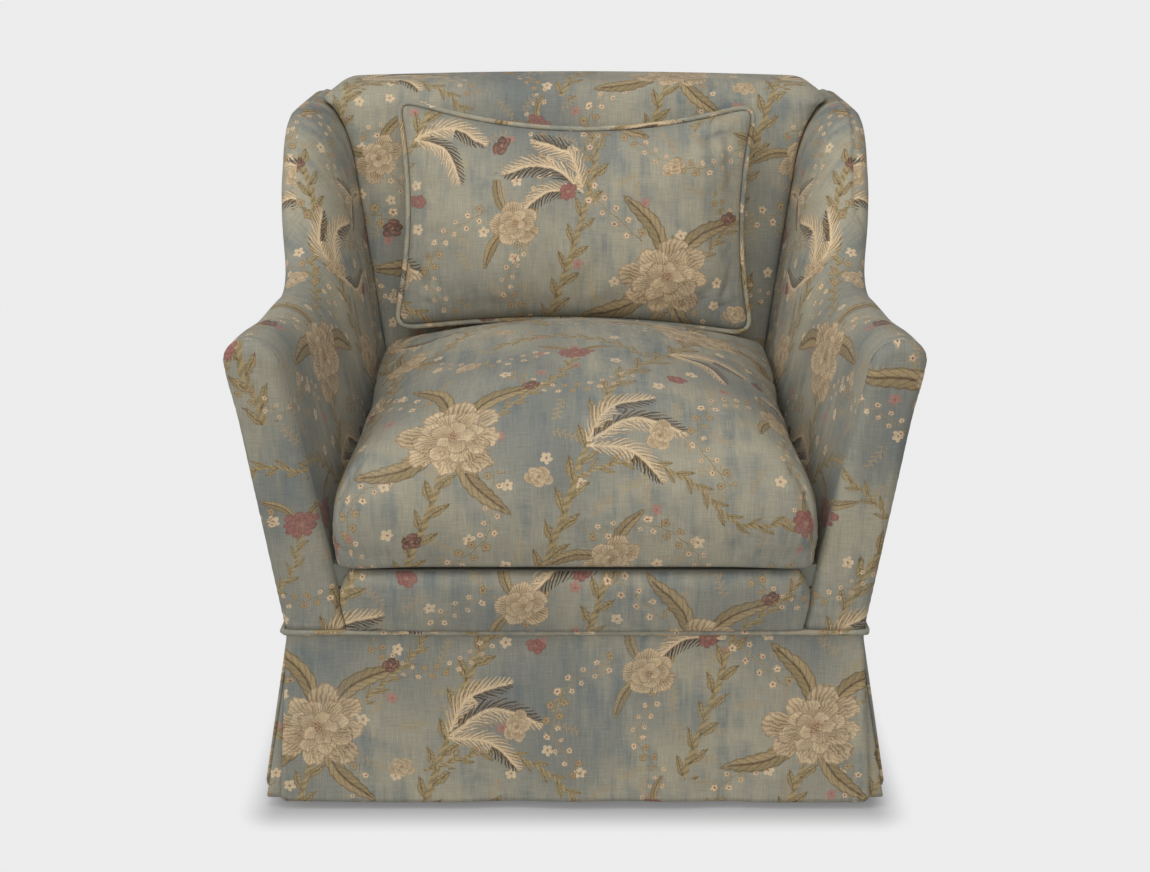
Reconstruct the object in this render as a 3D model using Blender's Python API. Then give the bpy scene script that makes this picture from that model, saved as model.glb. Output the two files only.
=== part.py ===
"""Skirted upholstered armchair: winged arms, loose seat cushion and a piped lumbar pillow.

Metres, +Z up. The chair faces -Y and stands on the floor at Z 0, with the origin under the middle of
its outline. Left is -X, the left side of somebody who looks at the chair from the front.

A side of the chair leans outwards and closes in slightly towards the back, so a point there is given by
its place (y, z) in profile and its depth in from the outer face.
"""

import math

import bmesh
import bpy
from mathutils import Vector

# Clearance between two pieces that touch
GAP = 0.0003

# Body of the chair: plan at the top of the skirt
BODY_DEPTH = 0.745
BODY_HALF_WIDTH = 0.370
ARM_THICKNESS = 0.080

# Slopes of a side's outer and inner faces, inwards along Y and outwards up Z
OUTER_TOE_RATIO = 0.0414
OUTER_FLARE_RATIO = 0.147
INNER_TOE_RATIO = 0.0727
INNER_FLARE_RATIO = 0.19

# Heights from the floor
GLIDE_HEIGHT = 0.006
RAIL_BOTTOM = 0.150
SKIRT_TOP = 0.250
RAIL_TOP = 0.300
SEAT_BASE = 0.335
ARM_FRONT_TOP = 0.627
ARM_DIP_TOP = 0.604
WING_TOP = 0.810
BACK_TOP = 0.842

# Side profile: how far the wing's foot and head lie in front of the outside back
WING_FOOT_SETBACK = 0.380
WING_HEAD_SETBACK = 0.190
WING_FOOT_RADIUS = 0.070
WING_HEAD_RADIUS = 0.150

# Upholstery of the sides
PANEL_THICKNESS = 0.014
PANEL_EDGE_RADIUS = 0.007
OUTSIDE_THICKNESS = 0.010
TOP_PAD_THICKNESS = 0.036
OUTER_ROUNDING = 0.024
ARM_ROLL_WIDTH = 0.028
ARM_ROLL_DEPTH = 0.030
WING_ROLL_WIDTH = 0.044
WING_ROLL_DEPTH = 0.085

# Timber
BOARD_THICKNESS = 0.032
RAIL_THICKNESS = 0.028
FRONT_POST_WIDTH = 0.045
ARM_RAIL_BOTTOM = 0.520
BOARD_LEAD = 0.020
BACK_RAIL_BOTTOM = 0.700
BACK_RAIL_HEIGHT = 0.055
STUFFING_RAIL_BOTTOM = 0.360
STUFFING_RAIL_HEIGHT = 0.060
BLOCK_LEG = 0.075
BLOCK_BOTTOM = 0.165
BLOCK_TOP = 0.235
FOOT_TOP_SIDE = 0.052
FOOT_TAPER = 0.008
GLIDE_RADIUS = 0.013

# Back: its whole thickness at the reference height, and the slopes of its rear and front
BACK_THICKNESS = 0.202
BACK_REFERENCE = 0.480
BACK_RAKE_RATIO = 0.069
BACK_LEAN_RATIO = math.tan(math.radians(17))
BACK_PAD_THICKNESS = 0.107
BACK_CROWN = 0.012
BACK_BOW = 0.004
BACK_CORNER_RADIUS = 0.024
BACK_FRONT_RADIUS = 0.045
BACK_REAR_RADIUS = 0.024

# Springs and webbing
SPRING_COUNT = 5
SPRING_WIRE_RADIUS = 0.0020
SPRING_SWING = 0.021
SPRING_WAVES = 8
STRAP_COUNT = 4
STRAP_HEIGHT = 0.050
STRAP_THICKNESS = 0.002
LOWEST_STRAP = 0.450
STRAP_PITCH = 0.062

# Front border under the cushion
BORDER_PROUD = 0.012
BORDER_FULLNESS = 12
BORDER_RADIUS = 0.018
BORDER_CORNER_RADIUS = 0.030

# Seat cushion
CUSHION_PROUD = 0.025
CUSHION_SIDE_GAP = 0.019
CUSHION_BASE_DRAW = 0.014
CUSHION_FRONT_SEAM = 0.067
CUSHION_REAR_SEAM = 0.140
CUSHION_THICKNESS = 0.219
CUSHION_CROWN = 0.060
CUSHION_CORNER = 0.09
CUSHION_TOP_FULLNESS = 5
CUSHION_BASE_FULLNESS = 60
CUSHION_FRONT_BOW = 0.008

# Lumbar pillow
PILLOW_HALF_WIDTH = 0.256
PILLOW_HALF_HEIGHT = 0.158
PILLOW_HALF_THICKNESS = 0.052
PILLOW_EDGE = 0.003
PILLOW_TOP_SAG = 0.030
PILLOW_BOTTOM_RISE = 0.014
PILLOW_SIDE_DRAW = 0.012
PIPING_RADIUS = 0.0038

# Skirt
HEM_HEIGHT = 0.012
HEM_PROUD = 0.020
SIDE_HEM_PROUD = 0.037
FRONT_HEM_SPREAD = 0.014
SKIRT_CLOTH = 0.004
PLEAT_CLOTH = 0.003
PLEAT_LEG = 0.100
PLEAT_LIFT = 0.004
WELT_RADIUS = 0.004

DUST_COVER_THICKNESS = 0.0015

# The plate behind the back stops where the rounding of the back's top begins
OUTSIDE_BACK_TOP = BACK_TOP - BACK_REAR_RADIUS
REAR_REACH = max(BACK_RAKE_RATIO * (OUTSIDE_BACK_TOP - SKIRT_TOP), HEM_PROUD)
FRONT_REACH = max(CUSHION_PROUD, HEM_PROUD)
FRONT = -(BODY_DEPTH + REAR_REACH - FRONT_REACH) / 2
REAR = FRONT + BODY_DEPTH

# Planes that several pieces share
FRAME_FRONT = FRONT + PANEL_THICKNESS + GAP
BOARD_IN = OUTSIDE_THICKNESS + GAP
BOARD_OUT = BOARD_IN + BOARD_THICKNESS
TIMBER_REAR = REAR - OUTSIDE_THICKNESS - GAP

# Faceting
ARC_STEPS = 5
PILLOW_GRID = 12
PAD_LEVELS = (1.0, 0.72, 0.44, 0.2, 0.05, 0.0)
ROLL_LEVELS = (0.0, 0.3, 0.65, 1.0)
SPAN_LEVELS = (0.7, 0.35)
CUSHION_TOP_LEVELS = (1.0, 0.985, 0.95, 0.88, 0.75, 0.55, 0.3, 0.1)
CUSHION_BASE_LEVELS = (0.5, 0.85, 0.95, 0.985)

LEFT, RIGHT = -1, 1
SIDE_NAMES = {LEFT: "left", RIGHT: "right"}


def outer_x(y, z):
    """Outer face of the right-hand side."""
    return BODY_HALF_WIDTH - OUTER_TOE_RATIO * (y - FRONT) + OUTER_FLARE_RATIO * (z - SKIRT_TOP)


def inner_x(y, z):
    """Inner, padded face of the right-hand side."""
    level = BODY_HALF_WIDTH - ARM_THICKNESS - INNER_TOE_RATIO * (y - FRONT)
    return level + INNER_FLARE_RATIO * (z - SKIRT_TOP)


def base_x(y, depth=0.0):
    """Outer line of the base in plan, moved in by depth."""
    return outer_x(y, SKIRT_TOP) - depth


def rear_y(z):
    """Plane just inside the outside back panel."""
    return TIMBER_REAR + BACK_RAKE_RATIO * (z - SKIRT_TOP)


def back_front_y(z):
    """Front face of the inside back, before its crown."""
    return REAR - BACK_THICKNESS + BACK_LEAN_RATIO * (z - BACK_REFERENCE)


def pad_rear_y(z):
    """Plane behind the foam of the inside back."""
    return back_front_y(z) + BACK_PAD_THICKNESS


def clear_scene():
    for obj in list(bpy.data.objects):
        bpy.data.objects.remove(obj, do_unlink=True)


def finish_of(name, colour, roughness, metallic=0.0):
    """A plain Principled finish."""
    material = bpy.data.materials.new(name)
    material.use_nodes = True
    material.diffuse_color = (*colour, 1.0)
    shader = material.node_tree.nodes["Principled BSDF"]
    shader.inputs["Base Color"].default_value = (*colour, 1.0)
    shader.inputs["Roughness"].default_value = roughness
    shader.inputs["Metallic"].default_value = metallic
    return material


def printed_linen(name, ground, faded, blossom, stem):
    """Linen with a faded ground and loose fields of blossom and stem colour."""
    material = finish_of(name, ground, 0.9)
    tree = material.node_tree
    shader = tree.nodes["Principled BSDF"]
    place = tree.nodes.new("ShaderNodeTexCoord")

    def field(scale, low, high, below, above):
        noise = tree.nodes.new("ShaderNodeTexNoise")
        noise.inputs["Scale"].default_value = scale
        ramp = tree.nodes.new("ShaderNodeValToRGB")
        ramp.color_ramp.elements[0].position = low
        ramp.color_ramp.elements[0].color = (*below, 1.0)
        ramp.color_ramp.elements[1].position = high
        ramp.color_ramp.elements[1].color = (*above, 1.0)
        tree.links.new(place.outputs["Object"], noise.inputs["Vector"])
        tree.links.new(noise.outputs["Fac"], ramp.inputs["Fac"])
        return ramp

    wash = field(4.0, 0.40, 0.62, ground, faded)
    blooms = field(9.0, 0.60, 0.62, (0, 0, 0), (1, 1, 1))
    motif = field(14.0, 0.48, 0.52, blossom, stem)
    mix = tree.nodes.new("ShaderNodeMix")
    mix.data_type = "RGBA"
    tree.links.new(blooms.outputs["Color"], mix.inputs["Factor"])
    tree.links.new(wash.outputs["Color"], mix.inputs["A"])
    tree.links.new(motif.outputs["Color"], mix.inputs["B"])
    tree.links.new(mix.outputs["Result"], shader.inputs["Base Color"])
    return material


def place_mesh(name, mesh, material):
    mesh.materials.append(material)
    mesh.shade_smooth()
    mesh.set_sharp_from_angle(angle=math.radians(35))
    obj = bpy.data.objects.new(name, mesh)
    bpy.context.scene.collection.objects.link(obj)
    return obj


def loft(name, loops, material):
    """A closed solid through loops of as many points each, capped at both ends."""
    shape = bmesh.new()
    rings = [[shape.verts.new(point) for point in loop] for loop in loops]
    count = len(rings[0])
    for low, high in zip(rings, rings[1:]):
        for i in range(count):
            j = (i + 1) % count
            shape.faces.new((low[i], low[j], high[j], high[i]))
    shape.faces.new(rings[0])
    shape.faces.new(rings[-1])
    bmesh.ops.recalc_face_normals(shape, faces=shape.faces)
    mesh = bpy.data.meshes.new(name)
    shape.to_mesh(mesh)
    shape.free()
    return place_mesh(name, mesh, material)


def tube(name, points, radius, material, closed=False, resolution=1):
    """A round wire, cord or piping through points."""
    curve = bpy.data.curves.new(name, "CURVE")
    curve.dimensions = "3D"
    curve.bevel_depth = radius
    curve.bevel_resolution = resolution
    curve.use_fill_caps = not closed
    spline = curve.splines.new("POLY")
    spline.points.add(len(points) - 1)
    for spot, point in zip(spline.points, points):
        spot.co = (*point, 1.0)
    spline.use_cyclic_u = closed
    spline.use_smooth = True
    curve.materials.append(material)
    obj = bpy.data.objects.new(name, curve)
    bpy.context.scene.collection.objects.link(obj)
    return obj


def round_corner(before, corner, after, radius, steps=ARC_STEPS):
    """Points of the arc that replaces a corner."""
    corner = Vector(corner)
    back = (Vector(before) - corner).normalized()
    ahead = (Vector(after) - corner).normalized()
    half = back.angle(ahead) / 2
    centre = corner + (back + ahead).normalized() * (radius / math.sin(half))
    start = corner + back * (radius / math.tan(half)) - centre
    end = corner + ahead * (radius / math.tan(half)) - centre
    turn = start.angle(end)
    points = []
    for k in range(steps + 1):
        share = k / steps
        blend = start * math.sin((1 - share) * turn) + end * math.sin(share * turn)
        points.append(tuple(centre + blend / math.sin(turn)))
    return points


def rounded(points, radii, closed=True):
    """An outline with the corners that have a radius replaced by arcs."""
    made = []
    for i, (point, radius) in enumerate(zip(points, radii)):
        if not radius or (not closed and i in (0, len(points) - 1)):
            made.append(tuple(point))
            continue
        made += round_corner(points[i - 1], point, points[(i + 1) % len(points)], radius)
    return made


def arm_line():
    """The top of the side in profile, from the front of the arm up the wing to the back."""
    return rounded(
        [
            (FRAME_FRONT, ARM_FRONT_TOP),
            (REAR - WING_FOOT_SETBACK, ARM_DIP_TOP),
            (REAR - WING_HEAD_SETBACK, WING_TOP),
            (rear_y(WING_TOP), WING_TOP),
        ],
        [None, WING_FOOT_RADIUS, WING_HEAD_RADIUS, None],
        closed=False,
    )


def sunk(line, distance):
    """The line moved into the side by distance, with its ends kept on the front and rear planes."""
    moved = []
    for i, (y, z) in enumerate(line):
        before = Vector(line[max(i - 1, 0)])
        after = Vector(line[min(i + 1, len(line) - 1)])
        along = (after - before).normalized()
        moved.append((y + along.y * distance, z - along.x * distance))
    first, last = moved[0], moved[-1]
    moved[0] = (line[0][0], first[1])
    moved[-1] = (rear_y(last[1]), last[1])
    return moved


def stretch(line, low, high):
    """The part of a line between two places along Y."""

    def at(y):
        for (y0, z0), (y1, z1) in zip(line, line[1:]):
            if y0 <= y <= y1:
                return z0 + (z1 - z0) * (y - y0) / (y1 - y0)
        return line[0][1] if y < line[0][0] else line[-1][1]

    inside = [point for point in line if low + GAP < point[0] < high - GAP]
    return [(low, at(low)), *inside, (high, at(high))]


def side_piece(name, side, outline, far, near, material):
    """A slab of the side: an outline in profile between two faces, each a function of (y, z)."""
    loops = [[(side * face(y, z), y, z) for y, z in outline] for face in (far, near)]
    return loft(f"{name}_{SIDE_NAMES[side]}", loops, material)


def outer_face(depth):
    return lambda y, z: outer_x(y, z) - depth


def across(name, outline, half_width, material):
    """A piece that spans the chair: an outline in profile between its two ends."""
    loops = [[(side * half_width(y, z), y, z) for y, z in outline] for side in (LEFT, RIGHT)]
    return loft(name, loops, material)


def roll_at(y):
    """Width and depth of the soft inner edge, which grows from the arm to the wing."""
    share = min(max((y - FRONT) / (BODY_DEPTH - WING_HEAD_SETBACK), 0.0), 1.0)
    share = share * share * (3 - 2 * share)
    width = ARM_ROLL_WIDTH + (WING_ROLL_WIDTH - ARM_ROLL_WIDTH) * share
    depth = ARM_ROLL_DEPTH + (WING_ROLL_DEPTH - ARM_ROLL_DEPTH) * share
    return width, depth


def rolled_x(y, z, below_top):
    """Inner face of the side, rolled outwards near its top."""
    width, depth = roll_at(y)
    short = max(1 - below_top / depth, 0.0)
    return inner_x(y, z) + width * (1 - math.sqrt(1 - short * short))


def rim(line, k, y=None):
    """Section of the top pad at point k of the arm line, as (x, y, z) on the right-hand side."""

    def at(distance):
        place, height = sunk(line, distance)[k]
        return (place if y is None else y), height

    section = []
    for level in PAD_LEVELS:
        distance = level * TOP_PAD_THICKNESS
        section.append((rolled_x(*at(distance), distance), *at(distance)))
    for step in range(ARC_STEPS):
        angle = math.pi / 2 * step / (ARC_STEPS - 1)
        distance = OUTER_ROUNDING * (1 - math.cos(angle))
        inset = OUTER_ROUNDING * (1 - math.sin(angle))
        section.append((outer_x(*at(distance)) - inset, *at(distance)))
    section.append((outer_x(*at(TOP_PAD_THICKNESS)), *at(TOP_PAD_THICKNESS)))
    return section


def mirrored(side, points):
    return [(side * x, y, z) for x, y, z in points]


def sides(cloth, timber):
    top = arm_line()
    below = sunk(top, TOP_PAD_THICKNESS + GAP)
    board_top = below[-1][1]
    board_start = REAR - WING_FOOT_SETBACK - WING_FOOT_RADIUS / 2
    lead_end = pad_rear_y(board_top) - BOARD_LEAD

    for side in (LEFT, RIGHT):
        sections = [mirrored(side, rim(top, k)) for k in range(len(top))]
        loft(f"arm_top_pad_{SIDE_NAMES[side]}", sections, cloth)
        front_arm_panel(side, top, cloth)
        side_piece(
            "outside_arm",
            side,
            below + [(rear_y(SKIRT_TOP + GAP), SKIRT_TOP + GAP), (FRAME_FRONT, SKIRT_TOP + GAP)],
            outer_face(0),
            outer_face(OUTSIDE_THICKNESS),
            cloth,
        )
        inside_arm(side, top, cloth)
        board = (outer_face(BOARD_IN), outer_face(BOARD_OUT))
        side_piece(
            "front_post",
            side,
            [
                (FRAME_FRONT, SKIRT_TOP + GAP),
                (FRAME_FRONT + FRONT_POST_WIDTH, SKIRT_TOP + GAP),
                (FRAME_FRONT + FRONT_POST_WIDTH, ARM_RAIL_BOTTOM - GAP),
                (FRAME_FRONT, ARM_RAIL_BOTTOM - GAP),
            ],
            *board,
            timber,
        )
        side_piece(
            "arm_rail",
            side,
            stretch(below, FRAME_FRONT, board_start - GAP)
            + [(board_start - GAP, ARM_RAIL_BOTTOM), (FRAME_FRONT, ARM_RAIL_BOTTOM)],
            *board,
            timber,
        )
        side_piece(
            "wing_board",
            side,
            stretch(below, board_start, lead_end - GAP)
            + [
                (pad_rear_y(ARM_RAIL_BOTTOM) - BOARD_LEAD - GAP, ARM_RAIL_BOTTOM),
                (board_start, ARM_RAIL_BOTTOM),
            ],
            *board,
            timber,
        )
        foot_z = SKIRT_TOP + GAP
        side_piece(
            "back_side_board",
            side,
            [
                (pad_rear_y(foot_z) - BOARD_LEAD, foot_z),
                (lead_end, board_top),
                (rear_y(board_top), board_top),
                (rear_y(foot_z), foot_z),
            ],
            *board,
            timber,
        )


def inside_arm(side, top, cloth):
    """The thick inner pad of a side, rolled along its upper edge."""
    pad_bottom = RAIL_TOP + GAP

    def outline(distance):
        line = sunk(top, distance)
        edge = stretch(line, FRAME_FRONT, pad_rear_y(line[-1][1]))
        return edge + [(pad_rear_y(pad_bottom), pad_bottom), (FRAME_FRONT, pad_bottom)]

    start = TOP_PAD_THICKNESS + GAP
    reach = WING_ROLL_DEPTH - start
    loops = [[(outer_x(y, z) - BOARD_OUT - GAP, y, z) for y, z in outline(start)]]
    for share in ROLL_LEVELS:
        distance = start + share * reach
        points = outline(distance)
        ring = [(rolled_x(y, z, distance), y, z) for y, z in points[:-2]]
        loops.append(ring + [(inner_x(y, z), y, z) for y, z in points[-2:]])
    loft(f"inside_arm_{SIDE_NAMES[side]}", [mirrored(side, loop) for loop in loops], cloth)


def front_arm_panel(side, top, cloth):
    """The padded facing on the front end of an arm."""
    bottom = SKIRT_TOP + GAP

    def outline(y, inset):
        points = [(inner_x(y, bottom), y, bottom), *rim(top, 0, y), (outer_x(y, bottom), y, bottom)]
        peak = ARM_FRONT_TOP
        made = []
        for x, y, z in points:
            lean = (outer_x(y, z) + inner_x(y, z)) / 2
            reach = (outer_x(y, z) - inner_x(y, z)) / 2
            share = 1 - inset / reach
            lower = inset * (z - bottom) / (peak - bottom) if z > bottom else 0.0
            made.append((lean + (x - lean) * share, y, z - lower))
        return made

    loops = [outline(FRAME_FRONT - GAP, 0.0)]
    for inset, forward in corner_steps(PANEL_EDGE_RADIUS, 2):
        loops.append(outline(FRONT + forward, inset))
    loft(f"front_arm_panel_{SIDE_NAMES[side]}", [mirrored(side, loop) for loop in loops], cloth)


def back(cloth, timber, webbing):
    lip = BACK_RAIL_BOTTOM + BACK_RAIL_HEIGHT + GAP
    bottom = SEAT_BASE + GAP

    def half(y, z):
        return inner_x(y, z) - GAP

    widest = half(back_front_y(BACK_TOP), BACK_TOP)
    ends = corner_steps(BACK_CORNER_RADIUS)
    stations = [(1 - inset / widest, drop) for inset, drop in ends]
    stations += [(level, 0.0) for level in SPAN_LEVELS]
    stations = [(-t, drop) for t, drop in stations] + [(0.0, 0.0)] + stations[::-1]
    loops = []
    for t, drop in stations:
        top = BACK_TOP - drop - BACK_BOW * t * t
        bulge = BACK_CROWN * (1 - t * t)
        outline = rounded(
            [
                (back_front_y(bottom) - bulge, bottom),
                (back_front_y(top) - bulge, top),
                (rear_y(top), top),
                (rear_y(lip), lip),
                (pad_rear_y(lip), lip),
                (pad_rear_y(bottom), bottom),
            ],
            [None, BACK_FRONT_RADIUS, BACK_REAR_RADIUS, None, None, None],
        )
        loops.append([(t * half(y, z), y, z) for y, z in outline])
    loft("inside_back", loops, cloth)

    def member(name, low, height, thickness, material):
        front = [(pad_rear_y(z) + GAP, z) for z in (low, low + height)]
        outline = front + [(y + thickness, z) for y, z in front[::-1]]
        across(name, outline, outer_face(BOARD_OUT + GAP), material)

    member("back_top_rail", BACK_RAIL_BOTTOM, BACK_RAIL_HEIGHT, RAIL_THICKNESS, timber)
    member(
        "back_stuffing_rail",
        STUFFING_RAIL_BOTTOM,
        STUFFING_RAIL_HEIGHT,
        RAIL_THICKNESS,
        timber,
    )
    for k in range(STRAP_COUNT):
        low = LOWEST_STRAP + STRAP_PITCH * k
        member(f"back_strap_{k + 1}", low, STRAP_HEIGHT, STRAP_THICKNESS, webbing)
    outside_back(cloth)


def outside_back(cloth):
    """The panel that closes the back, as wide as both sides."""
    bottom = SKIRT_TOP + GAP
    wing = WING_TOP - GAP
    shoulder = inner_x(rear_y(wing), wing)
    corner_top = max(OUTSIDE_BACK_TOP - BACK_BOW, wing + 4 * GAP)

    def plane(z):
        return rear_y(z) + GAP

    half_outline = [
        (outer_x(plane(bottom), bottom), bottom),
        (outer_x(plane(wing), wing), wing),
        (shoulder, wing),
        (inner_x(plane(corner_top), corner_top), corner_top),
        (0.0, max(OUTSIDE_BACK_TOP, corner_top + GAP)),
    ]
    radii = [None, OUTER_ROUNDING, None, None, None]
    points = half_outline + [(-x, z) for x, z in half_outline[-2::-1]]
    outline = rounded(points, radii + radii[-2::-1])
    loops = [
        [(x, plane(z) + depth, z) for x, z in outline] for depth in (0, OUTSIDE_THICKNESS)
    ]
    loft("outside_back", loops, cloth)


def base_frame(timber, metal, lining):
    """Seat rails, corner blocks, feet and glides."""
    front_inside = FRAME_FRONT + RAIL_THICKNESS
    rear_inside = TIMBER_REAR - RAIL_THICKNESS

    def between_sides(y, _z):
        return base_x(y, BOARD_OUT + GAP)

    for name, near, far in (
        ("front_rail", FRAME_FRONT, front_inside),
        ("rear_rail", rear_inside, TIMBER_REAR),
    ):
        outline = [(near, RAIL_BOTTOM), (far, RAIL_BOTTOM), (far, RAIL_TOP), (near, RAIL_TOP)]
        across(name, outline, between_sides, timber)

    def upright(depth):
        return lambda y, _z: base_x(y, depth)

    foot_top = RAIL_BOTTOM - GAP
    for side in (LEFT, RIGHT):
        side_piece(
            "side_rail",
            side,
            [
                (FRAME_FRONT, RAIL_BOTTOM),
                (TIMBER_REAR, RAIL_BOTTOM),
                (TIMBER_REAR, SKIRT_TOP),
                (FRAME_FRONT, SKIRT_TOP),
            ],
            upright(BOARD_IN),
            upright(BOARD_OUT),
            timber,
        )
        for end, rail_face, outside, inward in (
            ("front", front_inside, FRAME_FRONT, 1),
            ("rear", rear_inside, TIMBER_REAR, -1),
        ):
            tag = f"{end}_{SIDE_NAMES[side]}"
            y0 = rail_face + inward * GAP
            y1 = y0 + inward * BLOCK_LEG
            corner = [
                (between_sides(y0, 0), y0),
                (between_sides(y0, 0) - BLOCK_LEG, y0),
                (between_sides(y1, 0), y1),
            ]
            loops = [[(side * x, y, z) for x, y in corner] for z in (BLOCK_BOTTOM, BLOCK_TOP)]
            loft(f"corner_block_{tag}", loops, timber)

            centre_y = outside + inward * FOOT_TOP_SIDE / 2
            centre_x = base_x(centre_y, BOARD_IN + FOOT_TOP_SIDE / 2)
            levels = []
            for z, half in (
                (GLIDE_HEIGHT + GAP, FOOT_TOP_SIDE / 2 - FOOT_TAPER),
                (foot_top, FOOT_TOP_SIDE / 2),
            ):
                square = [(-half, -half), (half, -half), (half, half), (-half, half)]
                levels.append([(side * centre_x + x, centre_y + y, z) for x, y in square])
            loft(f"foot_{tag}", levels, timber)

            ring = [2 * math.pi * k / 12 for k in range(12)]
            disc = [(GLIDE_RADIUS * math.cos(a), GLIDE_RADIUS * math.sin(a)) for a in ring]
            loops = [
                [(side * centre_x + x, centre_y + y, z) for x, y in disc]
                for z in (0.0, GLIDE_HEIGHT)
            ]
            loft(f"foot_glide_{tag}", loops, metal)
    dust_cover(lining)


def dust_cover(lining):
    """The thin cloth stapled under the rails, notched round the feet."""
    notch = FOOT_TOP_SIDE + 4 * GAP
    near, far = FRAME_FRONT, TIMBER_REAR
    right = [
        (base_x(near, BOARD_IN) - notch, near),
        (base_x(near + notch, BOARD_IN) - notch, near + notch),
        (base_x(near + notch, BOARD_IN), near + notch),
        (base_x(far - notch, BOARD_IN), far - notch),
        (base_x(far - notch, BOARD_IN) - notch, far - notch),
        (base_x(far, BOARD_IN) - notch, far),
    ]
    outline = right + [(-x, y) for x, y in right[::-1]]
    top = RAIL_BOTTOM - GAP
    loops = [[(x, y, z) for x, y in outline] for z in (top - DUST_COVER_THICKNESS, top)]
    loft("dust_cover", loops, lining)


def seat(cloth, lining, metal):
    """Springs, platform, front border and the loose cushion."""
    wire_z = RAIL_TOP + GAP + SPRING_WIRE_RADIUS
    start = FRAME_FRONT + RAIL_THICKNESS / 2
    end = TIMBER_REAR - RAIL_THICKNESS / 2
    span = end - start
    narrowest = inner_x(end, RAIL_TOP) - SPRING_SWING
    pitch = 2 * narrowest / SPRING_COUNT
    for k in range(SPRING_COUNT):
        middle = pitch * (k - (SPRING_COUNT - 1) / 2)
        points = []
        for i in range(4 * SPRING_WAVES + 1):
            turn = i / (4 * SPRING_WAVES)
            swing = SPRING_SWING * math.sin(2 * math.pi * SPRING_WAVES * turn)
            points.append((middle + swing, start + span * turn, wire_z))
        tube(f"seat_spring_{k + 1}", points, SPRING_WIRE_RADIUS, metal, resolution=0)

    deck_bottom = RAIL_TOP + 2 * (GAP + SPRING_WIRE_RADIUS)
    deck_top = SEAT_BASE - GAP
    across(
        "seat_platform",
        [
            (FRAME_FRONT, deck_bottom),
            (end, deck_bottom),
            (end, deck_top),
            (FRAME_FRONT, deck_top),
        ],
        lambda y, z: inner_x(y, z) - GAP,
        lining,
    )
    front_border(cloth, deck_top)
    seat_cushion(cloth)


def front_border(cloth, top):
    """The padded border between the arms, above the skirt, with rounded upper corners."""
    bottom = SKIRT_TOP + GAP
    back_face = FRAME_FRONT - GAP

    def half_width(z):
        return inner_x(FRAME_FRONT, z) - GAP

    ends = corner_steps(BORDER_CORNER_RADIUS)
    stations = [(1 - inset / half_width(top), drop) for inset, drop in ends]
    stations += [(level, 0.0) for level in SPAN_LEVELS]
    stations = [(-t, drop) for t, drop in stations] + [(0.0, 0.0)] + stations[::-1]
    loops = []
    for t, drop in stations:
        nose = FRONT - BORDER_PROUD * (1 - abs(t) ** BORDER_FULLNESS)
        peak = top - drop
        corners = [
            (back_face, bottom),
            (FRONT, bottom),
            (nose, (bottom + peak) / 2),
            (nose, peak),
            (back_face, peak),
        ]
        radii = [None, None, None, BORDER_RADIUS - BORDER_PROUD / 2, None]
        loops.append([(t * half_width(z), y, z) for y, z in rounded(corners, radii)])
    loft("front_border", loops, cloth)


def corner_steps(radius, count=4):
    """How far in from an end, and how far down, a rounded corner passes."""
    turns = [math.pi / 2 * k / count for k in range(count + 1)]
    return [(radius * (1 - math.cos(a)), radius * (1 - math.sin(a))) for a in turns]


def cushion_depth():
    """From the nose of the cushion to where its side seam meets the inside back."""
    rear = back_front_y(SEAT_BASE + CUSHION_REAR_SEAM) - BACK_CROWN - 2 * GAP
    return rear - (FRONT - CUSHION_PROUD)


def cushion_half_width(y, v):
    return inner_x(y, cushion_seam(v)) - CUSHION_SIDE_GAP


def cushion_seam(v):
    """Height of the side seam, from v = -1 at the front to 1 at the back."""
    return SEAT_BASE + CUSHION_FRONT_SEAM + (CUSHION_REAR_SEAM - CUSHION_FRONT_SEAM) * (v + 1) / 2


def cushion_top(u, v):
    """Height of the seat cushion's top, for u across and v from front to back."""
    out = min(max(abs(u), abs(v)), 1.0)
    shoulder = SEAT_BASE + CUSHION_THICKNESS - CUSHION_CROWN
    rise = (shoulder - cushion_seam(v)) * math.sqrt(1 - out**CUSHION_TOP_FULLNESS)
    return cushion_seam(v) + rise + CUSHION_CROWN * max((1 - u * u) * (1 - abs(v) ** 3), 0)


def cushion_base(u, v):
    out = min(max(abs(u), abs(v)), 1.0)
    return cushion_seam(v) - (cushion_seam(v) - SEAT_BASE) * (1 - out**CUSHION_BASE_FULLNESS) ** 0.3


def cushion_point(u, v, height):
    """A point of the cushion. Below the seam its sides draw in and its back takes the back's lean."""
    depth = cushion_depth()
    y = FRONT - CUSHION_PROUD + depth * (v + 1) / 2
    sunk_by = max(cushion_seam(v) - height, 0) / (cushion_seam(v) - SEAT_BASE)
    half_width = cushion_half_width(y, v) - CUSHION_BASE_DRAW * sunk_by
    share = (v + 1) / 2
    y -= BACK_LEAN_RATIO * share**3 * max(cushion_seam(v) - height, 0)
    y += CUSHION_FRONT_BOW * (u * u + sunk_by) * (1 - share) ** 3
    return u * half_width, y, height


def seat_cushion(cloth):
    corners = [(-1, -1), (0, -1), (1, -1), (1, 0), (1, 1), (0, 1), (-1, 1), (-1, 0)]
    radii = [CUSHION_CORNER, None] * 4
    plan = rounded(corners, radii)
    levels = [(out, cushion_base) for out in CUSHION_BASE_LEVELS]
    levels += [(out, cushion_top) for out in CUSHION_TOP_LEVELS]
    loops = []
    for out, surface in levels:
        loop = []
        for u, v in plan:
            height = surface(out * u / max(abs(u), abs(v)), out * v / max(abs(u), abs(v)))
            loop.append(cushion_point(out * u, out * v, height))
        loops.append(loop)
    loft("seat_cushion", loops, cloth)


def spread(k, count):
    """A place from -1 to 1, with the places close together at the ends."""
    return math.sin(math.pi / 2 * (2 * k / count - 1))


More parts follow.
